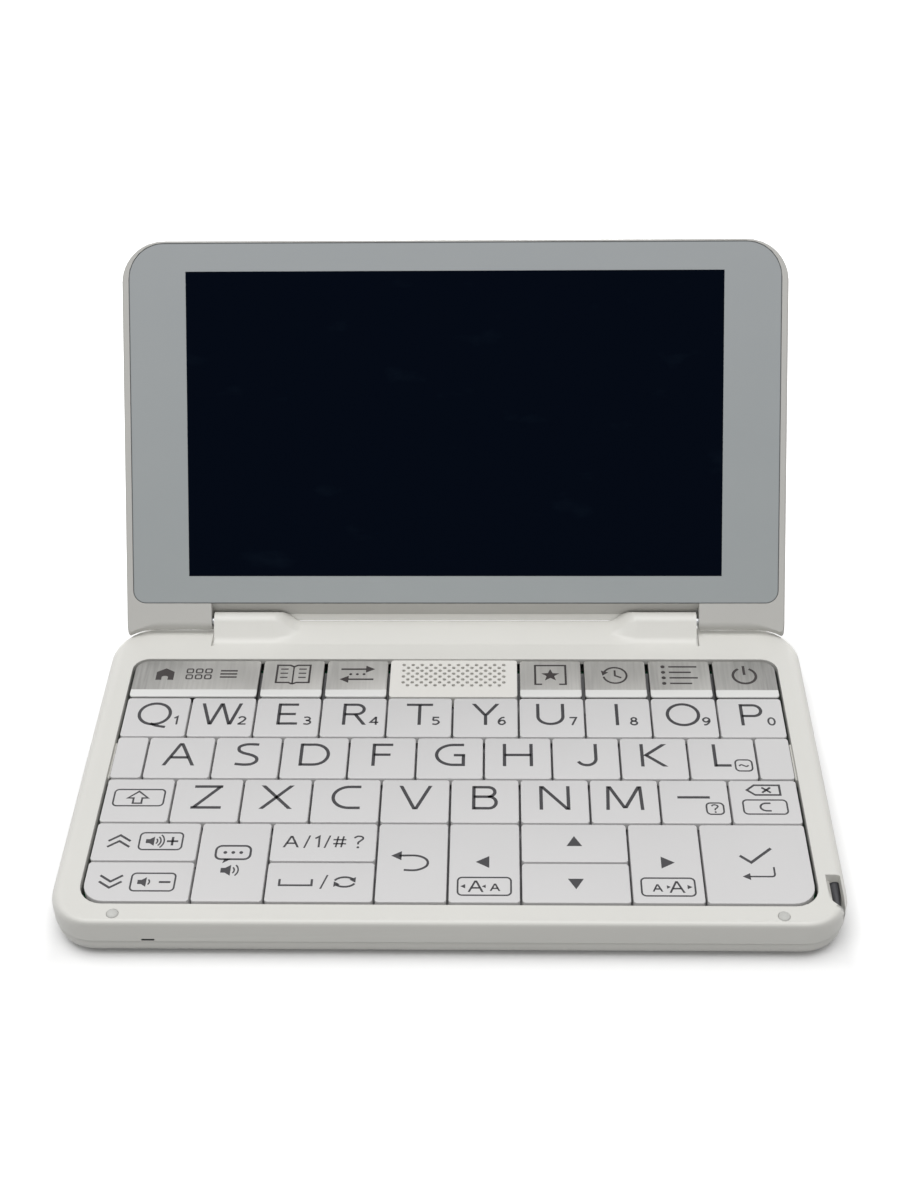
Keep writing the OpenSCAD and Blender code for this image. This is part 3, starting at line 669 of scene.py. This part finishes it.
class Print:
    """Ink on one key: strokes and filled shapes in millimetres from the middle of the cap's top."""

    def __init__(self):
        self.points, self.faces = [], []

    def prism(self, left, right, closed=False):
        """A raised stroke between its left and right side, both followed from start to end."""
        n, first = len(left), len(self.points)
        for z in (INK_HIGH, INK_LOW):
            for a, b in zip(left, right):
                self.points += [(a[0], a[1], z), (b[0], b[1], z)]
        low = 2 * n
        for i in range(n if closed else n - 1):
            k = (i + 1) % n
            a, b, c, d = (first + v for v in (2 * i, 2 * i + 1, 2 * k + 1, 2 * k))
            self.faces += [(a, b, c, d), (d + low, c + low, b + low, a + low),
                           (a, d, d + low, a + low), (b, b + low, c + low, c)]
        if not closed:
            a, b, c, d = (first + v for v in (0, 1, 2 * n - 2, 2 * n - 1))
            self.faces += [(b, a, a + low, b + low), (c, d, d + low, c + low)]

    def stroke(self, path, width, closed=False):
        """A line of even width with mitred corners."""
        half, n = width / 2, len(path)
        left, right = [], []
        for i, here in enumerate(path):
            before = path[i - 1] if i or closed else None
            after = path[(i + 1) % n] if i < n - 1 or closed else None
            ways = []
            for a, b in ((before, here), (here, after)):
                if a is not None and b is not None:
                    length = math.hypot(b[0] - a[0], b[1] - a[1])
                    ways.append(((b[0] - a[0]) / length, (b[1] - a[1]) / length))
            across = (-sum(w[1] for w in ways), sum(w[0] for w in ways))
            size = math.hypot(*across)
            unit = (across[0] / size, across[1] / size)
            # The mitre's reach is capped, so that a sharp corner doesn't run out to a spike
            reach = half / max(0.45, unit[0] * -ways[0][1] + unit[1] * ways[0][0])
            left.append((here[0] + unit[0] * reach, here[1] + unit[1] * reach))
            right.append((here[0] - unit[0] * reach, here[1] - unit[1] * reach))
        self.prism(left, right, closed)

    def slant(self, x0, y0, x1, y1, width):
        """A slanting stroke whose ends are cut level."""
        half = width / 2 * math.hypot(x1 - x0, y1 - y0) / abs(y1 - y0)
        half = half if y1 > y0 else -half
        self.prism([(x0 - half, y0), (x1 - half, y1)], [(x0 + half, y0), (x1 + half, y1)])

    def line(self, x0, y0, x1, y1, width):
        self.stroke([(x0, y0), (x1, y1)], width)

    def smooth(self, path, width):
        self.stroke(through(path), width)

    def filled(self, outline):
        """A filled shape, its outline anticlockwise."""
        n, first = len(outline), len(self.points)
        self.points += [(x, y, INK_HIGH) for x, y in outline] + [(x, y, INK_LOW) for x, y in outline]
        self.faces.append(tuple(range(first, first + n)))
        self.faces.append(tuple(range(first + 2 * n - 1, first + n - 1, -1)))
        for i in range(n):
            k = (i + 1) % n
            self.faces.append((first + k, first + i, first + n + i, first + n + k))

    def dot(self, x, y, r):
        self.filled(arc(x, y, r, r, 0, 345, 23))

    def frame(self, x, y, w, h, r=0.9, width=0.36):
        self.stroke(rounded(x, y, w, h, r), width, True)


def arc(cx, cy, rx, ry, start, end, steps=20):
    """Points on an ellipse from one angle to another, in degrees."""
    points = []
    for i in range(steps + 1):
        a = math.radians(start + (end - start) * i / steps)
        points.append((cx + rx * math.cos(a), cy + ry * math.sin(a)))
    return points


def rounded(x, y, w, h, r):
    """A rectangle with round corners, anticlockwise."""
    ring = []
    for sx, sy, a in ((1, -1, -90), (1, 1, 0), (-1, 1, 90), (-1, -1, 180)):
        ring += arc(x + sx * (w / 2 - r), y + sy * (h / 2 - r), r, r, a, a + 90, 6)
    return ring


def through(path):
    """A smooth curve through the points, six steps from each to the next."""
    steps, last, out = 6, len(path) - 1, []
    for i in range(last):
        before, start, end, after = (path[max(0, min(last, i + k))] for k in (-1, 0, 1, 2))
        for step in range(steps):
            t = step / steps
            point = []
            for a, b, c, d in zip(before, start, end, after):
                bend = 2 * a - 5 * b + 4 * c - d
                twist = 3 * b - a - 3 * c + d
                point.append(0.5 * (2 * b + (c - a) * t + bend * t * t + twist * t ** 3))
            out.append(tuple(point))
    return out + [path[-1]]


# Capital letters: H is half the cap height, S the stroke, T the middle line of the top stroke
H, S = 3.38, 0.72
T = H - S / 2

# Straight strokes as x0, y0, x1, y1. The slanting ones have their ends cut level.
STRAIGHT = {
    "A": [(-3.08, -H, -0.08, H), (3.08, -H, 0.08, H), (-1.9, -0.95, 1.9, -0.95)],
    "B": [(-2.31, -H, -2.31, H), (-2.31, 0.28, 0.6, 0.28)],
    "D": [(-2.89, -H, -2.89, H)],
    "E": [(-1.91, -H, -1.91, H), (-1.91, T, 2.2, T), (-1.91, 0, 1.75, 0), (-1.91, -T, 2.27, -T)],
    "F": [(-1.84, -H, -1.84, H), (-1.84, T, 2.2, T), (-1.84, 0, 1.75, 0)],
    "G": [(0.8, -0.1, 3.22, -0.1)],
    "H": [(-2.84, -H, -2.84, H), (2.84, -H, 2.84, H), (-2.84, 0, 2.84, 0)],
    "I": [(0, -H, 0, H)],
    "K": [(-2.51, -H, -2.51, H), (-1.9, -0.15, 2.3, H), (-1.75, 0.1, 2.3, -H)],
    "L": [(-1.46, -H, -1.46, H), (-1.46, -T, 1.82, -T)],
    "M": [(-3.55, -H, -3.3, H), (3.55, -H, 3.3, H),
          (-3.1, H, -0.05, -0.86 * H), (3.1, H, 0.05, -0.86 * H)],
    "N": [(-2.81, -H, -2.81, H), (2.81, -H, 2.81, H), (-2.72, H, 2.72, -H)],
    "P": [(-2.12, -H, -2.12, H)],
    "R": [(-2.12, -H, -2.12, H), (0.25, -0.05, 2.35, -H)],
    "T": [(0, -H, 0, T), (-2.87, T, 2.87, T)],
    "V": [(-3.05, H, -0.1, -H), (3.05, H, 0.1, -H)],
    "W": [(-4.1, H, -2.2, -H), (-0.05, H, -2.1, -H), (0.05, H, 2.1, -H), (4.1, H, 2.2, -H)],
    "X": [(-3.0, H, 3.0, -H), (3.0, H, -3.0, -H)],
    "Y": [(-2.6, H, -0.05, -0.35), (2.6, H, 0.05, -0.35), (0, -H, 0, -0.2)],
    "Z": [(-2.95, T, 2.95, T), (-3.15, -T, 3.15, -T), (2.5, T, -2.6, -T)],
}

# Bowls and hooks, followed point by point
BENT = {
    "B": [[(-2.31, T)] + arc(0.6, (T + 0.28) / 2, 1.45, (T - 0.28) / 2, 90, -90),
          [(-2.31, -T)] + arc(0.8, (0.28 - T) / 2, 1.51, (T + 0.28) / 2, -90, 90) + [(0.6, 0.28)]],
    "C": [[(3.05, T)] + arc(0.75, 0, 3.4, T, 90, 270, 28) + [(3.05, -T)]],
    "D": [[(-2.89, T)] + arc(-0.2, 0, 3.09, T, 90, -90, 28) + [(-2.89, -T)]],
    "G": [[(2.95, T)] + arc(0.75, 0, 3.61, T, 90, 270, 28) + [(2.86, -T), (2.86, -0.1)]],
    "J": [[(2.11, H)] + arc(0.15, -1.1, 1.96, T - 1.1, 0, -155)],
    "P": [[(-2.12, T)] + arc(0.45, (T - 0.4) / 2, 1.67, (T + 0.4) / 2, 90, -90) + [(-2.12, -0.4)]],
    "R": [[(-2.12, T)] + arc(0.45, (T - 0.05) / 2, 1.67, (T + 0.05) / 2, 90, -90) + [(-2.12, -0.05)]],
    "U": [[(-2.71, H)] + arc(0, -0.7, 2.71, T - 0.7, 180, 360, 24) + [(2.71, H)]],
}

ROUND = {"O": (3.38, 3.3), "Q": (3.4, 3.3)}

# Curves through points, each with its share of the stroke
CURVED = {
    "S": ([(2.25, 3.0), (0.9, 3.1), (-0.7, 2.98), (-1.85, 2.3), (-1.85, 1.2), (-0.9, 0.45),
           (0.8, -0.15), (2.0, -0.95), (2.1, -2.05), (1.1, -2.9), (-0.6, -3.08), (-2.4, -2.85)], 1.0),
    "Q": ([(-0.5, -3.05), (0.8, -3.75), (2.85, -4.2)], 0.95),
}


def shifted(path, x, y, size=1.0):
    return [(x + a * size, y + b * size) for a, b in path]


def letter(p, name, x=0.0, y=0.0, size=1.0, s=S):
    """One capital with its middle at a point. The size scales all but the stroke s."""
    for x0, y0, x1, y1 in STRAIGHT.get(name, ()):
        start, end = shifted([(x0, y0), (x1, y1)], x, y, size)
        draw = p.line if x0 == x1 or y0 == y1 else p.slant
        draw(*start, *end, s)
    for path in BENT.get(name, ()):
        p.stroke(shifted(path, x, y, size), s)
    if name in ROUND:
        p.stroke(shifted(arc(0, 0, *ROUND[name], 0, 350, 35), x, y, size), s, True)
    if name in CURVED:
        path, share = CURVED[name]
        p.smooth(shifted(path, x, y, size), s * share)


# Digits: paths of more than three points are followed as curves
SIX = [(0.5, 0.95), (-0.05, 0.85), (-0.58, 0.05), (-0.5, -0.7), (0.05, -0.95), (0.58, -0.5),
       (0.4, 0.05), (-0.05, 0.15), (-0.52, -0.2)]
DIGITS = {
    "1": [[(-0.42, 0.62), (0.16, 1.06), (0.16, -1.1)]],
    "2": [[(-0.68, 0.62), (-0.3, 0.98), (0.25, 0.95), (0.58, 0.5), (0.2, -0.15), (-0.66, -0.93)],
          [(-0.75, -0.95), (0.76, -0.95)]],
    "3": [[(-0.6, 0.88), (0.05, 0.96), (0.5, 0.6), (0.3, 0.15), (-0.25, 0.05)],
          [(-0.25, 0.05), (0.42, -0.1), (0.62, -0.55), (0.15, -0.95), (-0.66, -0.86)]],
    "4": [[(0.34, 1.1), (0.34, -1.1)], [(0.3, 1.0), (-0.7, -0.42), (0.8, -0.42)]],
    "5": [[(0.6, 0.95), (-0.45, 0.95), (-0.5, 0.1)],
          [(-0.5, 0.1), (0.15, 0.18), (0.6, -0.35), (0.15, -0.93), (-0.62, -0.85)]],
    "6": [SIX],
    "7": [[(-0.66, 0.95), (0.6, 0.95), (-0.2, -1.1)]],
    "9": [[(-x, -y) for x, y in SIX]],
}
# Rings of a digit: height of the middle, half width and half height
DIGIT_RINGS = {"8": [(0.5, 0.46, 0.45), (-0.48, 0.58, 0.5)], "0": [(0, 0.6, 0.95)]}


def digit(p, name, x, y, size, s):
    for path in DIGITS.get(name, ()):
        follow = p.smooth if len(path) > 3 else p.stroke
        follow(shifted(path, x, y, size), s)
    for up, rx, ry in DIGIT_RINGS.get(name, ()):
        p.stroke(arc(x, y + up * size, rx * size, ry * size, 0, 345, 23), s, True)


def loudspeaker(p, x, y, size, waves):
    """A filled loudspeaker with its waves to the right."""
    cone = [(0.15, -1.15), (0.15, 1.15), (-0.75, 0.5), (-1.45, 0.5), (-1.45, -0.5), (-0.75, -0.5)]
    p.filled(shifted(cone, x, y, size))
    for i in range(waves):
        r = 0.75 + 0.62 * i
        p.stroke(shifted(arc(0, 0, r, r * 1.08, -48, 48, 12), x, y, size), 0.32)


def arrow_head(p, x, y, turn, size):
    """A filled triangle; turn 0 points right."""
    c, s = math.cos(math.radians(turn)), math.sin(math.radians(turn))
    corners = [(a * c - b * s, a * s + b * c) for a, b in ((1, 0), (-0.55, 0.9), (-0.55, -0.9))]
    p.filled(shifted(corners, x, y, size))


# ---------- the sign on each key ----------

LINE = 0.46  # usual stroke of a sign


def house_sign(p):
    """A house, a grid of squares and three lines."""
    p.filled([(-9.2, -0.55), (-7.9, -0.55), (-7.9, 0.5), (-7.5, 0.75), (-6.9, 0.75), (-6.5, 0.5),
              (-6.5, -0.55), (-5.2, -0.55), (-5.2, 2.1), (-7.2, 3.3), (-9.2, 2.1)])
    for column in range(3):
        for row in range(2):
            p.frame(-1.7 + 2.1 * column, 0.45 + 2.0 * row, 1.35, 1.3, 0.3, 0.34)
    for y in (2.5, 1.45, 0.4):
        p.line(5.2, y, 9.0, y, LINE)


def book_sign(p):
    for side in (-1, 1):
        page = [(0, -1.9), (0.9, -1.4), (3.7, -1.4), (3.7, 4.4), (0.9, 4.4), (0, 3.9)]
        p.stroke([(side * x, y) for x, y in page][::side], LINE)
        for i in range(3):
            y = 3.1 - 1.4 * i
            p.line(side * 1.2, y, side * 2.9, y, 0.36)
    p.line(0, -1.9, 0, 3.9, 0.34)


def swap_sign(p):
    """Two opposite arrows with three dots between them."""
    for way, y, turn in ((1, 3.1, 0), (-1, -0.3, 180)):
        p.line(way * -3.7, y, way * 2.0, y, 0.5)
        arrow_head(p, way * 2.6, y, turn, 1.3)
    for x in (-1.5, 0, 1.5):
        p.dot(x, 1.4, 0.33)


def star_sign(p):
    """A star on a bookmarked page."""
    p.stroke([(-3.4, 4.6), (-3.4, -1.9), (-1.9, -1.9)], LINE)
    p.stroke([(-3.4, 4.4), (3.4, 4.4), (3.4, -1.9), (1.9, -1.9)], LINE)
    star = []
    for i in range(10):
        r, a = (2.1, 0.9)[i % 2], math.radians(90 + 36 * i)
        star.append((r * math.cos(a), 1.1 + r * math.sin(a)))
    p.filled(star)


def clock_sign(p):
    p.stroke(arc(0, 1.1, 2.6, 2.6, 150, -170, 30), LINE)
    arrow_head(p, -2.45, 1.9, 250, 0.95)
    p.stroke([(0, 2.8), (0, 1.0), (1.4, 0.3)], LINE)


def list_sign(p):
    for i in range(4):
        y = 4.0 - 1.85 * i
        p.dot(-3.6, y, 0.48)
        p.line(-2.3, y, (4.0, 2.6)[i % 2], y, LINE)


def power_sign(p):
    p.stroke(arc(0, 1.0, 2.55, 2.55, 118, 422, 30), 0.6)
    p.line(0, 1.3, 0, 4.3, 0.6)


def shift_sign(p):
    p.frame(0.2, 0.7, 10.5, 4.7)
    arrow = [(-0.9, -0.9), (0.9, -0.9), (0.9, 0.6), (2.1, 0.6), (0.0, 2.5), (-2.1, 0.6), (-0.9, 0.6)]
    p.stroke(arrow, 0.4, True)


def dash_sign(p):
    """A dash, and a framed question mark."""
    p.line(-3.5, 1.2, 3.2, 1.2, 0.66)
    p.frame(4.0, -2.0, 3.5, 3.2)
    question = [(3.3, -1.3), (3.6, -0.98), (4.15, -0.95), (4.6, -1.3),
                (4.35, -1.8), (4.0, -2.1), (4.0, -2.45)]
    p.smooth(question, 0.32)
    p.dot(4.0, -2.98, 0.22)


def delete_sign(p):
    """A cross in a tag that points back, and a framed C."""
    p.stroke([(-3.4, 3.35), (-1.8, 4.75), (3.4, 4.75), (3.4, 1.95), (-1.8, 1.95)], LINE, True)
    p.line(-0.3, 4.1, 1.5, 2.6, LINE)
    p.line(-0.3, 2.6, 1.5, 4.1, LINE)
    p.frame(-0.1, -1.5, 9.0, 4.0)
    half = 1.0744
    path = [(1.159, half)] + arc(0.285, 0, 1.292, half, 90, 270, 28) + [(1.159, -half)]
    p.stroke(shifted(path, -0.1, -1.5), 0.42)


def page_sign(p, way, mid, waves):
    """A double chevron, and a framed loudspeaker with plus or minus."""
    for y in (mid - 0.75, mid + 0.85):
        p.stroke([(-7.7, y - way * 0.85), (-5.45, y + way * 0.75), (-3.2, y - way * 0.85)], 0.5)
    p.frame(3.0, mid, 8.7, 4.6)
    loudspeaker(p, 1.5, mid, 1.08, waves)
    p.line(4.2, mid, 6.5, mid, 0.5)
    if way > 0:
        p.line(5.35, mid - 1.15, 5.35, mid + 1.15, 0.5)


def voice_sign(p):
    """A speech bubble over a loudspeaker."""
    p.frame(0, 2.4, 7.0, 3.6, 1.2, LINE)
    p.filled([(-1.6, 0.7), (-1.9, -0.5), (-0.2, 0.7)])
    for x in (-1.6, 0, 1.6):
        p.dot(x, 2.4, 0.38)
    loudspeaker(p, -0.2, -2.35, 1.25, 2)


def mode_sign(p):
    """A, 1, a hash and a question mark: the kinds of input."""
    letter(p, "A", -6.6, 0.1, 0.46, 0.42)
    p.slant(-3.9, -1.6, -2.9, 1.8, 0.34)
    digit(p, "1", -1.2, 0.1, 1.4, 0.4)
    p.slant(0.2, -1.6, 1.2, 1.8, 0.34)
    for off in (-0.55, 0.55):
        p.slant(3.0 + off, -1.4, 3.4 + off, 1.6, 0.36)
        p.line(1.9, 0.1 + off, 4.5, 0.1 + off, 0.36)
    question = [(6.1, 1.15), (6.8, 1.6), (7.6, 1.5), (7.9, 0.95), (7.3, 0.3), (6.95, -0.1), (6.95, -0.6)]
    p.smooth(question, 0.4)
    p.dot(6.95, -1.4, 0.28)


def space_sign(p):
    """A space bar, and two arrows round a circle."""
    p.stroke([(-8.0, 0.7), (-8.0, -0.9), (-1.6, -0.9), (-1.6, 0.7)], LINE)
    p.slant(0.2, -1.8, 1.4, 1.8, 0.34)
    for way, turn in ((1, -62), (-1, 118)):
        p.stroke([(4.9 + way * x, way * y) for x, y in arc(0, -0.1, 2.1, 1.35, 160, 40, 12)], LINE)
        arrow_head(p, 4.9 + way * 1.75, way * 0.55, turn, 0.8)


def back_sign(p):
    p.smooth([(-2.6, 1.7), (1.0, 1.7), (2.9, 0.6), (2.9, -1.0), (1.0, -2.1), (-1.6, -2.1)], 0.5)
    arrow_head(p, -2.9, 1.7, 180, 1.35)


def size_sign(p, way, turn):
    """An arrow, and a framed large and small A."""
    arrow_head(p, 0, 0.1, turn, 1.75)
    p.frame(0, -6.3, 10.5, 4.6)
    letter(p, "A", way * 1.7, -6.3, 0.44, 0.4)
    letter(p, "A", way * -2.1, -6.55, 0.28, 0.34)
    arrow_head(p, way * 4.1, -6.3, turn, 0.62)
    arrow_head(p, 0, -6.3, turn, 0.5)


def enter_sign(p):
    """A tick over a return arrow."""
    p.stroke([(-3.2, 2.0), (-1.1, 0.2), (3.2, 4.0)], 0.6)
    p.stroke([(3.2, -1.0), (3.2, -2.6)] + arc(2.6, -2.9, 0.6, 0.6, 0, -90, 6) + [(-1.8, -3.5)], 0.38)
    arrow_head(p, -2.2, -3.5, 180, 1.0)


SIGNS = {
    "home": (house_sign,), "dict_a": (book_sign,), "dict_b": (swap_sign,), "my": (star_sign,),
    "history": (clock_sign,), "list": (list_sign,), "power": (power_sign,), "shift": (shift_sign,),
    "dash": (dash_sign,), "delete": (delete_sign,), "voice": (voice_sign,), "mode": (mode_sign,),
    "space": (space_sign,), "back": (back_sign,), "enter": (enter_sign,),
    "page_up": (page_sign, 1, 0.1, 3), "page_down": (page_sign, -1, -0.2, 1),
    "left": (size_sign, -1, 180), "right": (size_sign, 1, 0),
    "up": (arrow_head, 0, 0.1, 90, 1.75), "down": (arrow_head, 0, 0.1, -90, 1.75),
}

LETTER_Y = 0.95
LETTER_X = {"q": -0.4, "w": -0.25, "r": 0.1, "u": -0.3, "o": -0.3, "p": 0.15, "i": -0.25, "l": -0.1}
TOP_ROW = dict(zip("qwertyuiop", "1234567890"))
DIGIT_X = {"t": 3.6, "y": 3.55, "i": 3.35, "p": 4.25, "e": 4.4}
DIGIT_SIZE = 1.16


def letter_sign(p, name):
    """A capital, with a digit beside it in the top row and a framed wave beside the L."""
    letter(p, name.upper(), LETTER_X.get(name, 0.0), LETTER_Y)
    if name in TOP_ROW:
        foot = LETTER_Y - H + 1.1 * DIGIT_SIZE
        digit(p, TOP_ROW[name], DIGIT_X.get(name, 4.6), foot, DIGIT_SIZE, 0.42)
    if name == "l":
        p.frame(4.3, -2.05, 3.5, 3.3)
        p.smooth([(3.3, -2.2), (3.75, -1.85), (4.3, -2.1), (4.85, -2.35), (5.3, -2.0)], 0.34)


def add_legend(node):
    """The ink on one key. A key without a sign of its own is a letter key."""
    name = node[4:]
    p = Print()
    draw, *values = SIGNS.get(name, (letter_sign, name))
    draw(p, *values)
    low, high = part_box(node)
    middle = Vector(((low.x + high.x) / 2, (low.y + high.y) / 2, high.z))
    mesh = bpy.data.meshes.new(node + "_legend")
    mesh.from_pydata([middle + Vector(v) / 1000 for v in p.points], [], p.faces)
    silver = name in silver_names
    material, slot = (dark_ink, "silver_key") if silver else (legend_ink, "key_plastic")
    add_piece(node + "_legend", mesh, material, node, slot)


for node in key_names:
    add_legend(node)


# ---------- moulded shells and small parts ----------

smooth_shell("lower_shell", "lower_case", shell_white, "base", "case_plastic")
smooth_shell("upper_shell", "upper_case", deck_white, "base", "case_plastic")
smooth_shell("pads", "rubber_pads", pad_rubber, "base", "pad_rubber")
smooth_shell("screws", "case_screws", steel, "base", "steel")
smooth_shell("stylus_rod", "stylus", stylus_grey, "stylus", "stylus_plastic")
smooth_shell("lid_frame", "lid_bezel", lid_grey, "lid", "lid_plastic")
smooth_shell("lid_shell", "lid_back", lid_white, "lid", "lid_plastic")
smooth_shell("shafts", "hinge_shafts", steel, "lid", "steel")
smooth_shell("glass", "cover_glass", glass_face, "lid", "cover_glass")

for node, material in (
    ("key_sheet", silicone), ("main_board", circuit_green), ("battery", battery_wrap),
    ("lcd_module", display_black),
):
    solid = frame["nodes"][node]
    solid.data.materials.clear()
    solid.data.materials.append(material)


# The felt's middle, width, height and corner radius, in the deck frame
FELT_X, FELT_Z, FELT_W, FELT_H, FELT_R = -58.4, -5.3, 2.5, 0.54, 0.16
# Where its outlines lie from back to front, and how far each is drawn in
FELT_STEPS = ((-76.4, 0.0), (-76.86, 0.0), (-76.96, 0.08))


def add_felt():
    """Dark felt in the microphone slit, with a soft front edge."""
    points, faces = [], []
    for y, inset in FELT_STEPS:
        outline = rounded(FELT_X, FELT_Z, FELT_W - 2 * inset, FELT_H - 2 * inset, FELT_R)
        points += [deck_point(x, y, z) for x, z in outline]
    n = len(points) // len(FELT_STEPS)
    for ring in (0, n):
        for i in range(n):
            k = (i + 1) % n
            faces.append((ring + n + i, ring + i, ring + k, ring + n + k))
    faces.append(tuple(range(n - 1, -1, -1)))
    faces.append(tuple(range(2 * n, 3 * n)))
    mesh = bpy.data.meshes.new("microphone_felt")
    mesh.from_pydata(points, [], faces)
    add_piece("microphone_felt", mesh, felt, "base", "key_rubber")


add_felt()


# ---------- floor and light ----------

FLOOR_HALF = 3.0
FLOOR_BOUNCE = srgb(158, 158, 157)  # the floor's tone for the light that it gives back
FLOOR_GLOW, GLOW_START = 0.55, 0.02  # what it adds to the eye, in full from this far off the base
SKY = 0.42  # the sky's share of white for what it lights; to the eye it is white
LAMP_POWER, REAR_POWER = 5.35, 2.4


def add_floor():
    mesh = bpy.data.meshes.new("floor")
    corners = [(x * FLOOR_HALF, y * FLOOR_HALF, 0) for x, y in ((-1, -1), (1, -1), (1, 1), (-1, 1))]
    mesh.from_pydata(corners, [], [(0, 1, 2, 3)])
    floor = bpy.data.objects.new("floor", mesh)
    bpy.context.collection.objects.link(floor)
    f = Finish("pale_floor", 0.9, ior_level=0.0)
    seen = f.seen()
    f.colour(f.mix(seen, FLOOR_BOUNCE, (1, 1, 1, 1)))
    x, y = f.axes()[:2]
    low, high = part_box("upper_case")
    spans = []
    for along, start, end in ((x, low.x, high.x), (y, low.y, high.y)):
        spans.append((f.off_middle(along, (start + end) / 2), (end - start) / 2))
    away = f.spread(f.past_rectangle(spans), 0, GLOW_START, 0, FLOOR_GLOW)
    glow = f.node("ShaderNodeEmission")
    both = f.node("ShaderNodeAddShader")
    f.link(f.math("MULTIPLY", seen, away), glow.inputs["Strength"])
    f.link(f.shader.outputs[0], both.inputs[0])
    f.link(glow.outputs[0], both.inputs[1])
    f.link(both.outputs[0], f.tree.nodes["Material Output"].inputs["Surface"])
    mesh.materials.append(f.material)


def add_world():
    world = bpy.data.worlds.new("studio")
    bpy.context.scene.world = world
    world.use_nodes = True
    tree = world.node_tree
    sky = tree.nodes["Background"]
    sky.inputs["Color"].default_value = (1, 1, 1, 1)
    strength = tree.nodes.new("ShaderNodeMath")
    strength.operation = "MULTIPLY_ADD"
    tree.links.new(seen_directly(tree), strength.inputs[0])
    strength.inputs[1].default_value = 1 - SKY
    strength.inputs[2].default_value = SKY
    tree.links.new(strength.outputs[0], sky.inputs["Strength"])
    bpy.context.scene.view_settings.view_transform = "Standard"


def soft_box(name, place, aim, width, depth, power):
    """A rectangular lamp, its sizes and places in metres."""
    lamp = bpy.data.lights.new(name, "AREA")
    lamp.shape = "RECTANGLE"
    lamp.size = width
    lamp.size_y = depth
    lamp.energy = power
    box = bpy.data.objects.new(name, lamp)
    box.location = place
    box.rotation_euler = (Vector(aim) - Vector(place)).to_track_quat("-Z", "Y").to_euler()
    bpy.context.collection.objects.link(box)


add_floor()
add_world()
soft_box("overhead", (-0.06, -0.2, 0.88), (0, 0, 0), 0.8, 0.6, LAMP_POWER)
soft_box("rear", (0, 0.7, 0.15), (0, 0.05, 0.05), 0.16, 0.2, REAR_POWER)
